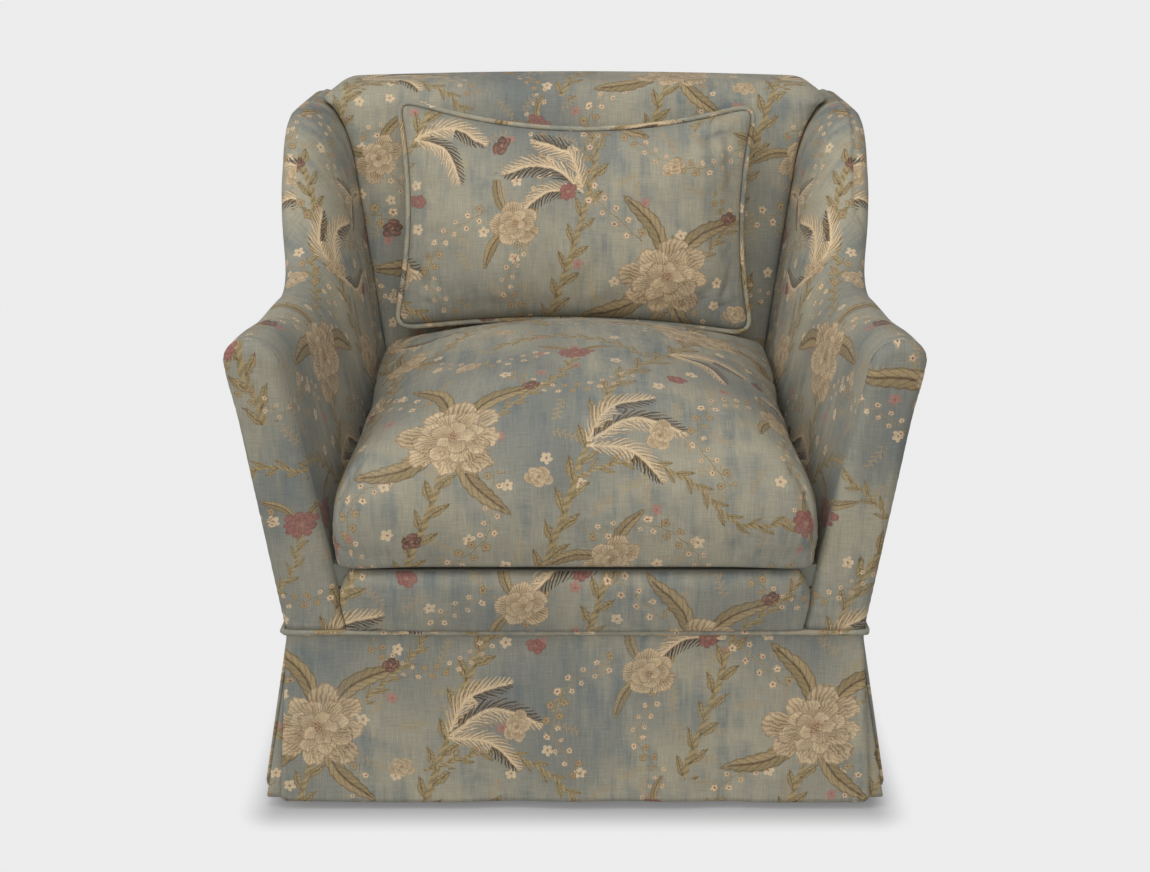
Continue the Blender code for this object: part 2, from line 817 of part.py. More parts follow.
def sheet_pair(name, columns, rows, plan, top, bottom, material, place=None, edge=0.0):
    """A stuffed form: an upper and a lower sheet over one plan, joined round their edge."""
    place = place or (lambda x, y, z: (x, y, z))
    shape = bmesh.new()
    sheets = []
    for surface in (top, bottom):
        grid = {}
        for i in range(columns + 1):
            for j in range(rows + 1):
                on_edge = i in (0, columns) or j in (0, rows)
                if surface is bottom and on_edge and not edge:
                    grid[i, j] = sheets[0][i, j]
                    continue
                u, v = spread(i, columns), spread(j, rows)
                x, y = plan(u, v)
                grid[i, j] = shape.verts.new(place(x, y, surface(u, v)))
        sheets.append(grid)
        for i in range(columns):
            for j in range(rows):
                shape.faces.new((grid[i, j], grid[i + 1, j], grid[i + 1, j + 1], grid[i, j + 1]))
    if edge:
        ring = edge_ring(columns, rows)
        for here, there in zip(ring, ring[1:] + ring[:1]):
            shape.faces.new((sheets[0][here], sheets[0][there], sheets[1][there], sheets[1][here]))
    bmesh.ops.recalc_face_normals(shape, faces=shape.faces)
    mesh = bpy.data.meshes.new(name)
    shape.to_mesh(mesh)
    shape.free()
    return place_mesh(name, mesh, material)


def edge_ring(columns, rows):
    """Grid places round the edge of a sheet, in order."""
    return (
        [(i, 0) for i in range(columns)]
        + [(columns, j) for j in range(rows)]
        + [(i, rows) for i in range(columns, 0, -1)]
        + [(0, j) for j in range(rows, 0, -1)]
    )


def pillow_plan(u, v):
    """Outline of the pillow, drawn in between its corners."""
    x = PILLOW_HALF_WIDTH * u - PILLOW_SIDE_DRAW * (1 - v * v) * u * abs(u)
    draw = PILLOW_TOP_SAG if v > 0 else PILLOW_BOTTOM_RISE
    y = PILLOW_HALF_HEIGHT * v - draw * (1 - u * u) * v * abs(v)
    return x, y


def pillow_rise(u, v):
    dome = math.sqrt(max((1 - u * u) * (1 - v * v), 0))
    return PILLOW_EDGE + (PILLOW_HALF_THICKNESS - PILLOW_EDGE) * dome


def pillow_placing():
    """Sets the pillow on the seat cushion, leaning on the inside back."""
    up = Vector((0, BACK_LEAN_RATIO, 1)).normalized()
    out = Vector((0, -1, BACK_LEAN_RATIO)).normalized()
    wall = Vector((0, back_front_y(BACK_REFERENCE) - BACK_CROWN, BACK_REFERENCE))
    middle = wall + out * (PILLOW_HALF_THICKNESS + GAP)

    def point(x, y, z):
        return middle + up * y + out * z + Vector((x, 0, 0))

    def clearance(x, y, z):
        spot = point(x, y, z)
        v = 2 * (spot.y - FRONT + CUSHION_PROUD) / cushion_depth() - 1
        u = spot.x / cushion_half_width(spot.y, v)
        if abs(v) > 1 or abs(u) > 1:
            return 1.0
        return spot.z - cushion_top(u, v)

    cord = 2 * PIPING_RADIUS + GAP
    tests = []
    for i in range(PILLOW_GRID + 1):
        for j in range(PILLOW_GRID // 2):
            u, v = spread(i, PILLOW_GRID), spread(j, PILLOW_GRID)
            x, y = pillow_plan(u, v)
            rise = pillow_rise(u, v)
            tests += [(x, y - cord, rise), (x, y - cord, -rise), (x, y - cord, PIPING_RADIUS)]
    lift = 0.0
    for _ in range(6):
        lift -= min(clearance(x, y + lift, z) for x, y, z in tests) - GAP
    return lambda x, y, z: point(x, y + lift, z)


def pillow(cloth):
    place = pillow_placing()
    sheet_pair(
        "lumbar_pillow",
        PILLOW_GRID,
        PILLOW_GRID,
        pillow_plan,
        pillow_rise,
        lambda u, v: -pillow_rise(u, v),
        cloth,
        place=place,
        edge=PILLOW_EDGE,
    )
    ring = []
    for i, j in edge_ring(PILLOW_GRID, PILLOW_GRID):
        ring.append(Vector(pillow_plan(spread(i, PILLOW_GRID), spread(j, PILLOW_GRID))))
    points = []
    for before, here, after in zip(ring[-1:] + ring[:-1], ring, ring[1:] + ring[:1]):
        into = (here - before).normalized()
        away = (after - here).normalized()
        along = (into + away).normalized()
        outward = Vector((along.y, -along.x))
        reach = (PIPING_RADIUS + GAP) / max(outward.dot(Vector((into.y, -into.x))), 0.5)
        corner = into.dot(away) < 0.5
        spot = here + outward * reach
        if corner:
            points += [spot - into * PIPING_RADIUS * 0.5, spot + away * PIPING_RADIUS * 0.5]
        else:
            points.append(spot)
    tube("pillow_piping", [place(p.x, p.y, 0) for p in points], PIPING_RADIUS, cloth, closed=True)


def skirt(cloth, shade):
    """The four hanging panels, the pleat cloth behind each corner and the welt above them."""
    top = SKIRT_TOP - GAP
    straight = top - 2 * WELT_RADIUS - 2 * GAP
    pleat_out = GAP + PLEAT_CLOTH
    cloth_in = pleat_out + GAP
    cloth_out = cloth_in + SKIRT_CLOTH

    def levels(face, hem):
        """Heights of a hanging piece with how far it stands out from the rails at each."""
        return ((top, face), (straight, face), (hem, None))

    def side_line(y, stand):
        return base_x(y, BOARD_IN) + stand

    side_hem = BODY_HALF_WIDTH + SIDE_HEM_PROUD - base_x(FRONT, BOARD_IN)
    end_hem = PANEL_THICKNESS + GAP + HEM_PROUD
    rear_hem = OUTSIDE_THICKNESS + GAP + HEM_PROUD
    front_spread = BODY_HALF_WIDTH + FRONT_HEM_SPREAD - side_line(FRONT, cloth_out)

    for name, wall, facing, hem in (
        ("skirt_front", FRAME_FRONT, -1, end_hem),
        ("skirt_rear", TIMBER_REAR, 1, rear_hem),
    ):
        loops = []
        for z, face in levels(cloth_out, HEM_HEIGHT):
            outer = hem if face is None else cloth_out
            grow = front_spread if face is None else 0.0
            near, far = wall + facing * outer, wall + facing * (outer - SKIRT_CLOTH)
            half = side_line(wall, cloth_out) + grow
            loops.append([(-half, near, z), (half, near, z), (half, far, z), (-half, far, z)])
        loft(name, loops, cloth)

    near = FRAME_FRONT - cloth_in + GAP
    far = TIMBER_REAR + cloth_in - GAP
    for side in (LEFT, RIGHT):
        loops = []
        for z, face in levels(cloth_out, HEM_HEIGHT):
            outer = side_hem if face is None else cloth_out
            plan = [
                (side_line(near, outer), near),
                (side_line(far, outer), far),
                (side_line(far, outer - SKIRT_CLOTH), far),
                (side_line(near, outer - SKIRT_CLOTH), near),
            ]
            loops.append([(side * x, y, z) for x, y in plan])
        loft(f"skirt_{SIDE_NAMES[side]}", loops, cloth)
        for end, wall, facing, hem in (
            ("front", FRAME_FRONT, -1, end_hem),
            ("rear", TIMBER_REAR, 1, rear_hem),
        ):
            low = HEM_HEIGHT + PLEAT_LIFT
            loops = []
            for z in (top, straight, low):
                out_x, out_y = pleat_out, pleat_out
                if z == low:
                    fallen = (straight - low) / (straight - HEM_HEIGHT)
                    out_x, out_y = (
                        cloth_in - GAP + fallen * (h - SKIRT_CLOTH - cloth_in)
                        for h in (side_hem, hem)
                    )
                loops.append(pleat_plan(side, wall, facing, out_x, out_y, side_line, z))
            loft(f"pleat_{end}_{SIDE_NAMES[side]}", loops, shade)
    welt(cloth, cloth_out)


def pleat_plan(side, wall, facing, out_x, out_y, side_line, z):
    """The bent strip of cloth behind a corner of the skirt, at one height."""
    corner_y = wall + facing * out_y
    inner_y = corner_y - facing * PLEAT_CLOTH
    end_y = wall - facing * PLEAT_LEG
    corner = side_line(corner_y, out_x)
    plan = [
        (corner, corner_y),
        (corner - PLEAT_LEG, corner_y),
        (corner - PLEAT_LEG, inner_y),
        (corner - PLEAT_CLOTH, inner_y),
        (side_line(end_y, out_x - PLEAT_CLOTH), end_y),
        (side_line(end_y, out_x), end_y),
    ]
    return [(side * x, y, z) for x, y in plan]


def welt(cloth, stand):
    """The corded edge round the chair, over the top of the skirt."""
    out = stand + GAP + WELT_RADIUS
    z = SKIRT_TOP - GAP - WELT_RADIUS
    near, far = FRAME_FRONT - out, TIMBER_REAR + out
    corners = [
        (-base_x(near, BOARD_IN) - out, near),
        (base_x(near, BOARD_IN) + out, near),
        (base_x(far, BOARD_IN) + out, far),
        (-base_x(far, BOARD_IN) - out, far),
    ]
    path = rounded(corners, [WELT_RADIUS + GAP] * len(corners))
    tube("skirt_welt", [(x, y, z) for x, y in path], WELT_RADIUS, cloth, closed=True)


def main():
    clear_scene()
    cloth = printed_linen(
        "printed_linen", (0.15, 0.19, 0.20), (0.30, 0.28, 0.22), (0.46, 0.36, 0.24), (0.27, 0.21, 0.10)
    )
    shade = finish_of("pleat_linen", (0.20, 0.22, 0.20), 0.9)
    timber = finish_of("beech", (0.45, 0.30, 0.17), 0.55)
    metal = finish_of("steel", (0.45, 0.45, 0.46), 0.35, 1.0)
    lining = finish_of("lining", (0.07, 0.07, 0.07), 0.95)
    webbing = finish_of("webbing", (0.30, 0.24, 0.15), 0.9)
    sides(cloth, timber)
    back(cloth, timber, webbing)
    base_frame(timber, metal, lining)
    seat(cloth, lining, metal)
    pillow(cloth)
    skirt(cloth, shade)


main()
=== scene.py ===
import math

import bmesh
import bpy
import numpy as np
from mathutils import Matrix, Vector


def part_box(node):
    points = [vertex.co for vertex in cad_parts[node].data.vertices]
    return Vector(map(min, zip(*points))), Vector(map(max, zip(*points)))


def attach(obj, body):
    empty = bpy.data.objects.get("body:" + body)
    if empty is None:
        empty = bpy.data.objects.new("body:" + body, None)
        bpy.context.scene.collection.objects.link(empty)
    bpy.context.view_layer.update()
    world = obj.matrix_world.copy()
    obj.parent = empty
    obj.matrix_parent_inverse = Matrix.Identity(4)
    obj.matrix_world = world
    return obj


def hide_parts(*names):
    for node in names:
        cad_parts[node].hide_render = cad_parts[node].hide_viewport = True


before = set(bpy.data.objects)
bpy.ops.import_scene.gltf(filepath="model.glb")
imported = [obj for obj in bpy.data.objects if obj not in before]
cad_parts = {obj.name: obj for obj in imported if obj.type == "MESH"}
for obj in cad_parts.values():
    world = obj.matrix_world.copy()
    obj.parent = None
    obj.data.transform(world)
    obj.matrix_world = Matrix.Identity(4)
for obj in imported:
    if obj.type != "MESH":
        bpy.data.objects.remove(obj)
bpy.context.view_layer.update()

# Dimensions repeated from the CAD source, in metres
GAP = 0.0003
BODY_DEPTH = 0.745
BODY_HALF_WIDTH = 0.370
ARM_THICKNESS = 0.080
OUTER_TOE_RATIO = 0.0414
OUTER_FLARE_RATIO = 0.147
INNER_TOE_RATIO = 0.0727
INNER_FLARE_RATIO = 0.19
SKIRT_TOP = 0.250
RAIL_TOP = 0.300
SEAT_BASE = 0.335
ARM_FRONT_TOP = 0.627
ARM_DIP_TOP = 0.604
WING_TOP = 0.810
BACK_TOP = 0.842
WING_FOOT_SETBACK = 0.380
WING_HEAD_SETBACK = 0.190
WING_HEAD_RADIUS = 0.150
WING_FOOT_SWEEP = 0.125  # the padding's sweep into the wing, softer than the frame's corner
PANEL_THICKNESS = 0.014
OUTSIDE_THICKNESS = 0.010
TOP_PAD_THICKNESS = 0.036
OUTER_ROUNDING = 0.024
FACING_ROUNDING = 0.0135
ARM_ROLL_WIDTH = 0.028
ARM_ROLL_DEPTH = 0.030
WING_ROLL_WIDTH = 0.044
WING_ROLL_DEPTH = 0.085
BOARD_THICKNESS = 0.032
BACK_THICKNESS = 0.202
BACK_REFERENCE = 0.480
BACK_RAKE_RATIO = 0.069
BACK_LEAN_RATIO = math.tan(math.radians(17))
BACK_PAD_THICKNESS = 0.107
BACK_CROWN = 0.012

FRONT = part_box("front_arm_panel_left")[0].y
REAR = FRONT + BODY_DEPTH
FRAME_FRONT = FRONT + PANEL_THICKNESS + GAP
TIMBER_REAR = REAR - OUTSIDE_THICKNESS - GAP
BOARD_IN = OUTSIDE_THICKNESS + GAP
BOARD_OUT = BOARD_IN + BOARD_THICKNESS

# Shape of the covers
SIDE_END = 0.05  # length over which the roll turns square to the ends of a side
SIDE_FOOT_DRAW = 0.178  # how far ahead of its top the foot of the inside ends up
SIDE_FOOT_FROM = -0.15  # where that begins, and the length over which it grows
SIDE_FOOT_RUN = 0.5437
SEAM_DROP = 0.012
SEAM_DEPTH = 0.0022
FACING_EDGE = 0.0004
BACK_LIP = 0.7553
PANEL_EDGE = 0.0035
OUTER_CUT = np.array([0.31, 0.17])  # where the outside of the arms and the rear are cut from the cloth
REAR_CUT = np.array([0.2, 0.0])

LEFT, RIGHT = -1, 1
SIDE_NAMES = {LEFT: "left", RIGHT: "right"}


def outer_x(y, z):
    return BODY_HALF_WIDTH - OUTER_TOE_RATIO * (y - FRONT) + OUTER_FLARE_RATIO * (z - SKIRT_TOP)


def inner_x(y, z):
    level = BODY_HALF_WIDTH - ARM_THICKNESS - INNER_TOE_RATIO * (y - FRONT)
    return level + INNER_FLARE_RATIO * (z - SKIRT_TOP)


def rear_y(z):
    return TIMBER_REAR + BACK_RAKE_RATIO * (z - SKIRT_TOP)


def back_front_y(z):
    return REAR - BACK_THICKNESS + BACK_LEAN_RATIO * (z - BACK_REFERENCE)


def pad_rear_y(z):
    return back_front_y(z) + BACK_PAD_THICKNESS


def smooth(x):
    x = np.clip(x, 0.0, 1.0)
    return x * x * (3 - 2 * x)


def between(low, high, share):
    return low + (high - low) * share


def unit(vectors):
    """Vectors brought to length 1."""
    return vectors / np.linalg.norm(vectors, axis=-1, keepdims=True)


def bunched(count, tightness):
    """Places from -1 to 1, closer together towards both ends."""
    quarter = math.pi / 2
    return np.sin(np.linspace(-1, 1, count) * quarter * tightness) / math.sin(quarter * tightness)


def lengths(points, axis=0):
    """Distance from its start along each line of points. The lines run along axis."""
    steps = np.linalg.norm(np.diff(points, axis=axis), axis=-1)
    return np.insert(np.cumsum(steps, axis=axis), 0, 0.0, axis=axis)


def read_off(points, run, places):
    """Values of points at places, where run holds the place of each point."""
    return np.stack([np.interp(places, run, column) for column in points.T], axis=1)


def resampled(points, places):
    """Points of a line at given distances along it."""
    return read_off(points, lengths(points), places)


def rounded(points, radii, steps=16):
    """A line in a plane with some of its corners replaced by arcs."""
    made = []
    for i, (point, radius) in enumerate(zip(points, radii)):
        point = np.array(point, float)
        if not radius:
            made.append(point)
            continue
        back = np.array(points[i - 1], float) - point
        ahead = np.array(points[(i + 1) % len(points)], float) - point
        back, ahead = back / np.linalg.norm(back), ahead / np.linalg.norm(ahead)
        half = math.acos(np.clip(back @ ahead, -1, 1)) / 2
        middle = back + ahead
        centre = point + middle / np.linalg.norm(middle) * radius / math.sin(half)
        start = point + back * radius / math.tan(half) - centre
        end = point + ahead * radius / math.tan(half) - centre
        turn = math.acos(np.clip(start @ end / radius**2, -1, 1))
        for k in range(steps + 1):
            share = k / steps
            spot = start * math.sin((1 - share) * turn) + end * math.sin(share * turn)
            made.append(centre + spot / math.sin(turn))
    return np.array(made)


class Cover:
    """Grids of points with their place on the cloth, sewn into one mesh."""

    def __init__(self):
        self.points, self.uvs, self.faces = [], [], []
        self.count = 0

    def grid(self, points, uv=None, closed=False):
        """A grid of m rows by n columns. closed joins the last column to the first."""
        rows, columns = points.shape[:2]
        index = np.arange(rows * columns).reshape(rows, columns) + self.count
        ahead = np.roll(index, -1, axis=1) if closed else index[:, 1:]
        here = index if closed else index[:, :-1]
        faces = np.stack([here[:-1], ahead[:-1], ahead[1:], here[1:]], axis=-1).reshape(-1, 4)
        self.points.append(points.reshape(-1, 3))
        self.uvs.append(np.zeros((rows * columns, 2)) if uv is None else uv.reshape(-1, 2))
        self.faces += faces.tolist()
        self.count += rows * columns

    def cap(self, ring):
        """One flat face over a closed line of points."""
        self.points.append(ring)
        self.uvs.append(np.zeros((len(ring), 2)))
        self.faces.append((np.arange(len(ring)) + self.count).tolist())
        self.count += len(ring)

    def shell(self, face, back, cloth, rows=2):
        """Two like grids, joined along their four edges by bands of this many rows."""
        self.grid(face, cloth)
        self.grid(back, cloth)
        for pick in (np.s_[:, 0], np.s_[:, -1], np.s_[0, :], np.s_[-1, :]):
            band = [face[pick] * (1 - share) + back[pick] * share for share in np.linspace(0, 1, rows)]
            self.grid(np.array(band), np.array([cloth[pick]] * rows))

    def build(self, name, weld=2e-5):
        points = np.concatenate(self.points)
        uvs = np.concatenate(self.uvs)
        keys = np.round(points / weld).astype(np.int64)
        _, first, index = np.unique(keys, axis=0, return_index=True, return_inverse=True)
        index = index.reshape(-1)
        faces, corners = [], []
        for face in self.faces:
            kept = []
            for k in face:
                if not kept or index[kept[-1]] != index[k]:
                    kept.append(k)
            if len(kept) > 1 and index[kept[0]] == index[kept[-1]]:
                kept.pop()
            if len({index[k] for k in kept}) > 2:
                faces.append([int(index[k]) for k in kept])
                corners += kept
        mesh = bpy.data.meshes.new(name)
        mesh.from_pydata(points[first].tolist(), [], faces)
        layer = mesh.uv_layers.new(name="cloth")
        layer.data.foreach_set("uv", uvs[corners].astype(np.float32).ravel())
        shape = bmesh.new()
        shape.from_mesh(mesh)
        bmesh.ops.recalc_face_normals(shape, faces=shape.faces)
        shape.to_mesh(mesh)
        shape.free()
        mesh.shade_smooth()
        return placed(name, mesh)


def placed(name, data):
    """A new object in the scene."""
    obj = bpy.data.objects.new(name, data)
    bpy.context.scene.collection.objects.link(obj)
    return obj


def arm_line(spacing=0.007):
    """The top of the side in profile, as (y, z) from the front of the arm to the back."""
    line = rounded(
        [
            (FRAME_FRONT, ARM_FRONT_TOP),
            (REAR - WING_FOOT_SETBACK, ARM_DIP_TOP),
            (REAR - WING_HEAD_SETBACK, WING_TOP),
            (rear_y(WING_TOP), WING_TOP),
        ],
        [None, WING_FOOT_SWEEP, WING_HEAD_RADIUS, None],
    )
    total = lengths(line)[-1]
    return resampled(line, np.linspace(0, total, int(total / spacing) + 1))


def arm_crown(y):
    """How far the padding on top of an arm rises above the frame's line."""
    return 0.004 * np.exp(-(((y - FRONT - 0.085) / 0.095) ** 2))


def plumped(points):
    """Points of the right-hand side with the padding's fullness added to the outside."""
    x, y, z = points[..., 0], points[..., 1], points[..., 2]
    inner, outer = inner_x(y, z), outer_x(y, z)
    outside = smooth((x - inner) / (outer - inner) * 1.6 - 0.5)
    wing = smooth((z - 0.585) / 0.10) * smooth((rear_y(z) - y) / 0.11) * 0.0062
    wing *= 1 - 0.85 * smooth((z - 0.70) / 0.09)
    near = 1 - smooth((y - FRONT - 0.03) / 0.12)
    arm = 0.0028 * np.exp(-(((z - 0.585) / 0.032) ** 2)) - 0.0035 * smooth((z - 0.60) / 0.025)
    arm *= near
    # The top of an arm slopes off to the outside halfway along
    slope = 0.0075 * np.exp(-(((y - FRONT - 0.150) / 0.080) ** 2)) * smooth((z - 0.50) / 0.08)
    moved = points.copy()
    moved[..., 0] += outside * (wing + arm)
    moved[..., 2] -= outside * slope
    return moved


def softened(values, width):
    """Values along a line, averaged over a window of this many points."""
    kernel = np.hanning(2 * width + 1)
    kernel /= kernel.sum()
    padded = np.pad(values, ((width, width), (0, 0)), "edge")
    return np.stack([np.convolve(column, kernel, "valid") for column in padded.T], axis=1)


def hanging_path(start, direction, end, pull=0.4, count=40):
    """A fair line in profile that leaves start along direction and comes down onto end."""
    reach = np.linalg.norm(end - start) * pull
    a, b, c, d = start, start + direction * reach, end + np.array([0, reach]), end
    t = np.linspace(0, 1, count)[:, None]
    return (1 - t) ** 3 * a + 3 * (1 - t) ** 2 * t * b + 3 * (1 - t) * t**2 * c + t**3 * d


def side(sign):
    """The cover of an arm and its wing: up the inside, over the top and down the outside."""
    line = arm_line()
    line[:, 1] += arm_crown(line[:, 0])
    tangent = softened(unit(np.gradient(line, axis=0)), 3)
    inward = np.stack([tangent[:, 1], -tangent[:, 0]], axis=1)
    from_front, from_rear = line[:, 0] - FRAME_FRONT, line[-1, 0] - line[:, 0]
    inward[:, 0] *= smooth(from_front / SIDE_END) * smooth(from_rear / SIDE_END)
    inward = unit(inward)
    fan = unit(softened(inward, 20))
    share = from_front / from_front[-1]
    wing = smooth((line[:, 1] - ARM_DIP_TOP - 0.01) / 0.09)

    inner_rows, outer_rows, inner_uv, outer_uv, backs = [], [], [], [], []
    for k, top in enumerate(line):
        grown = smooth((top[0] - FRONT) / (BODY_DEPTH - WING_HEAD_SETBACK))
        width = between(ARM_ROLL_WIDTH, WING_ROLL_WIDTH, grown)
        depth = between(ARM_ROLL_DEPTH, WING_ROLL_DEPTH, grown)

        # Inside: from the seat up to where the roll begins
        low_y = top[0] - SIDE_FOOT_DRAW * smooth((top[0] - SIDE_FOOT_FROM) / SIDE_FOOT_RUN)
        start = top + inward[k] * depth
        rise = hanging_path(start, inward[k], np.array([low_y, RAIL_TOP + GAP]))[::-1]
        rise[:, 0] = np.minimum(rise[:, 0], pad_rear_y(rise[:, 1]))
        if np.linalg.norm(rise[-1] - start) > 1e-6:
            rise = np.concatenate([rise, start[None]])
        inner = np.column_stack([inner_x(*rise.T), rise])

        # The roll, the top and the outer rounding
        turn = np.linspace(0, math.pi / 2, 14)[1:]
        spot = top + inward[k] * (depth * (1 - np.sin(turn)))[:, None]
        roll = np.column_stack([inner_x(*spot.T) + width * (1 - np.cos(turn)), spot])
        turn = np.linspace(0, math.pi / 2, 10)
        spot = top + inward[k] * (OUTER_ROUNDING * (1 - np.cos(turn)))[:, None]
        edge = np.column_stack([outer_x(*spot.T) - OUTER_ROUNDING * (1 - np.sin(turn)), spot])
        across = np.linspace(0, 1, 6)[1:-1, None]
        roof = between(roll[-1], edge[0], across)
        roof[:, 2] += 0.002 * np.sin(math.pi * across[:, 0])

        # Outside: down to the welt
        bottom = np.array([between(FRAME_FRONT, rear_y(SKIRT_TOP), share[k]), SKIRT_TOP + GAP])
        fall = hanging_path(spot[-1], inward[k], bottom)[1:]
        fall[:, 0] = np.minimum(fall[:, 0], rear_y(fall[:, 1]))
        outer = np.column_stack([outer_x(*fall.T), fall])

        section = np.concatenate([inner, roll, roof, edge, outer])
        section[:, 1] = np.clip(section[:, 1], FRAME_FRONT, rear_y(section[:, 2]))
        run = lengths(section)
        outer_start = len(section) - len(outer) - 1
        seam_wing = run[outer_start - len(edge) + 1]
        seam = between(run[outer_start] + SEAM_DROP, seam_wing, wing[k])

        inner_at = seam * (1 - (1 - np.linspace(0, 1, 74)) ** 1.25)
        outer_at = between(seam, run[-1], np.linspace(0, 1, 58) ** 1.15)
        inner_rows.append(resampled(section, inner_at))
        outer_rows.append(resampled(section, outer_at))

        # The cloth lies flat on the inside and outside, and fans out over the roll
        beyond = np.maximum(inner_at - run[len(inner) - 1], 0)[:, None]
        inner_uv.append(read_off(rise, run[: len(inner)], inner_at) - fan[k] * beyond)
        before = np.maximum(run[outer_start] - outer_at, 0)[:, None]
        tail = np.concatenate([spot[-1:], fall])
        outer_uv.append(read_off(tail, run[outer_start:], outer_at) - fan[k] * before)

        # Back faces of the padding, which leave room for the timber
        under = top + inward[k] * (TOP_PAD_THICKNESS + GAP)
        under[0] = np.clip(under[0], FRAME_FRONT, rear_y(under[1]))
        foot, hem = section[0], section[-1]
        backs.append([
            hem,
            (hem[0] - OUTSIDE_THICKNESS, *hem[1:]),
            (outer_x(*under) - OUTSIDE_THICKNESS, *under),
            (outer_x(*under) - BOARD_OUT - GAP, *under),
            (outer_x(*foot[1:]) - BOARD_OUT - GAP, *foot[1:]),
            foot,
        ])

    inner_rows, outer_rows = plumped(np.array(inner_rows)), plumped(np.array(outer_rows))
    backs = np.array(backs)
    # A shallow seam on the wing, between its inner cover and the outside panel
    dip = np.column_stack([np.zeros(len(line)), inward]) * SEAM_DEPTH * wing[:, None]
    inner_rows[:, -1] += dip
    outer_rows[:, 0] += dip

    cover = Cover()
    mirror = np.array([sign, 1, 1])
    cover.grid(inner_rows * mirror, np.array(inner_uv))
    cover.grid(outer_rows * mirror, np.array(outer_uv) + OUTER_CUT)
    cover.grid(backs * mirror)
    for k in (0, -1):
        cover.cap(np.concatenate([inner_rows[k], outer_rows[k][1:], backs[k][1:-1]]) * mirror)
    name = SIDE_NAMES[sign]
    obj = cover.build(f"arm_cover_{name}")
    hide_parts(f"arm_top_pad_{name}", f"inside_arm_{name}", f"outside_arm_{name}")
    return obj


def arch_section(y):
    """Outline of an arm's front end, as (x, z) from the inner foot round to the outer foot."""
    bottom, peak = SKIRT_TOP + GAP, ARM_FRONT_TOP + arm_crown(y)
    inner = [(inner_x(y, bottom), bottom)]
    turn = np.linspace(0, math.pi / 2, 18)
    zs = peak - ARM_ROLL_DEPTH * (1 - np.sin(turn))
    inner += list(zip(inner_x(y, zs) + ARM_ROLL_WIDTH * (1 - np.cos(turn)), zs))
    zs = peak - OUTER_ROUNDING * (1 - np.cos(turn))
    outer = list(zip(outer_x(y, zs) - OUTER_ROUNDING * (1 - np.sin(turn)), zs))
    outer.append((outer_x(y, bottom), bottom))
    return np.array(inner + outer)


def front_panel(sign):
    """The facing on the front end of an arm."""
    bottom, peak = SKIRT_TOP + GAP, ARM_FRONT_TOP + arm_crown(FRAME_FRONT)
    columns, rows = 45, 84
    outline = arch_section(FRAME_FRONT)
    roof_x, roof_z = outline[1:-1].T
    grid = np.zeros((rows, columns, 3))
    for j, s in enumerate((1 - np.cos(np.linspace(0, math.pi, columns))) / 2):
        # Each column leans with the arm and ends on the arch
        end_z = peak
        for _ in range(9):
            x = between(inner_x(FRAME_FRONT, end_z), outer_x(FRAME_FRONT, end_z), s)
            end_z = 0.5 * end_z + 0.5 * float(np.interp(x, roof_x, roof_z))
        z = between(bottom, end_z, np.sin(np.linspace(0, 1, rows) * math.pi / 2))
        grid[:, j, 0] = between(inner_x(FRAME_FRONT, z), outer_x(FRAME_FRONT, z), s)
        grid[:, j, 2] = z
    plan = grid[:, :, [0, 2]]
    fine = resampled(outline, np.linspace(0, lengths(outline)[-1], 900))
    apart = plan.reshape(-1, 2)[:, None] - fine[None]
    apart = np.sqrt((apart**2).sum(-1)).min(1).reshape(rows, columns)
    short = np.clip(1 - apart / FACING_ROUNDING, 0, 1)
    wall = FRAME_FRONT - GAP
    face, back = grid.copy(), grid
    face[:, :, 1] = wall - FACING_ROUNDING * np.sqrt(1 - short**2)
    face[:, :, 1] += 0.0012 * (1 - smooth(apart / 0.035))
    face[:, :, 1] = np.minimum(face[:, :, 1], wall - FACING_EDGE)
    back[:, :, 1] = wall
    mirror = np.array([sign, 1, 1])
    cover = Cover()
    cover.shell(plumped(face) * mirror, plumped(back) * mirror, plan * np.array([sign, 1]))
    name = SIDE_NAMES[sign]
    obj = cover.build(f"arm_facing_{name}")
    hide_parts(f"front_arm_panel_{name}")
    return obj


def between_wings(y, z):
    """Half the width that the sides leave for the back, which widens where the wings roll away."""
    gap = np.clip((WING_TOP - z) / WING_ROLL_DEPTH, 0, 1)
    room = WING_ROLL_WIDTH * (1 - np.sqrt(1 - (1 - gap) ** 2))
    return inner_x(y, z) - 0.0005 + 0.80 * room


def over_back(u, spots):
    """Points of a profile (y, z) of the back, at share u of the way out to the wings."""
    return np.column_stack([u * between_wings(*spots.T), spots])


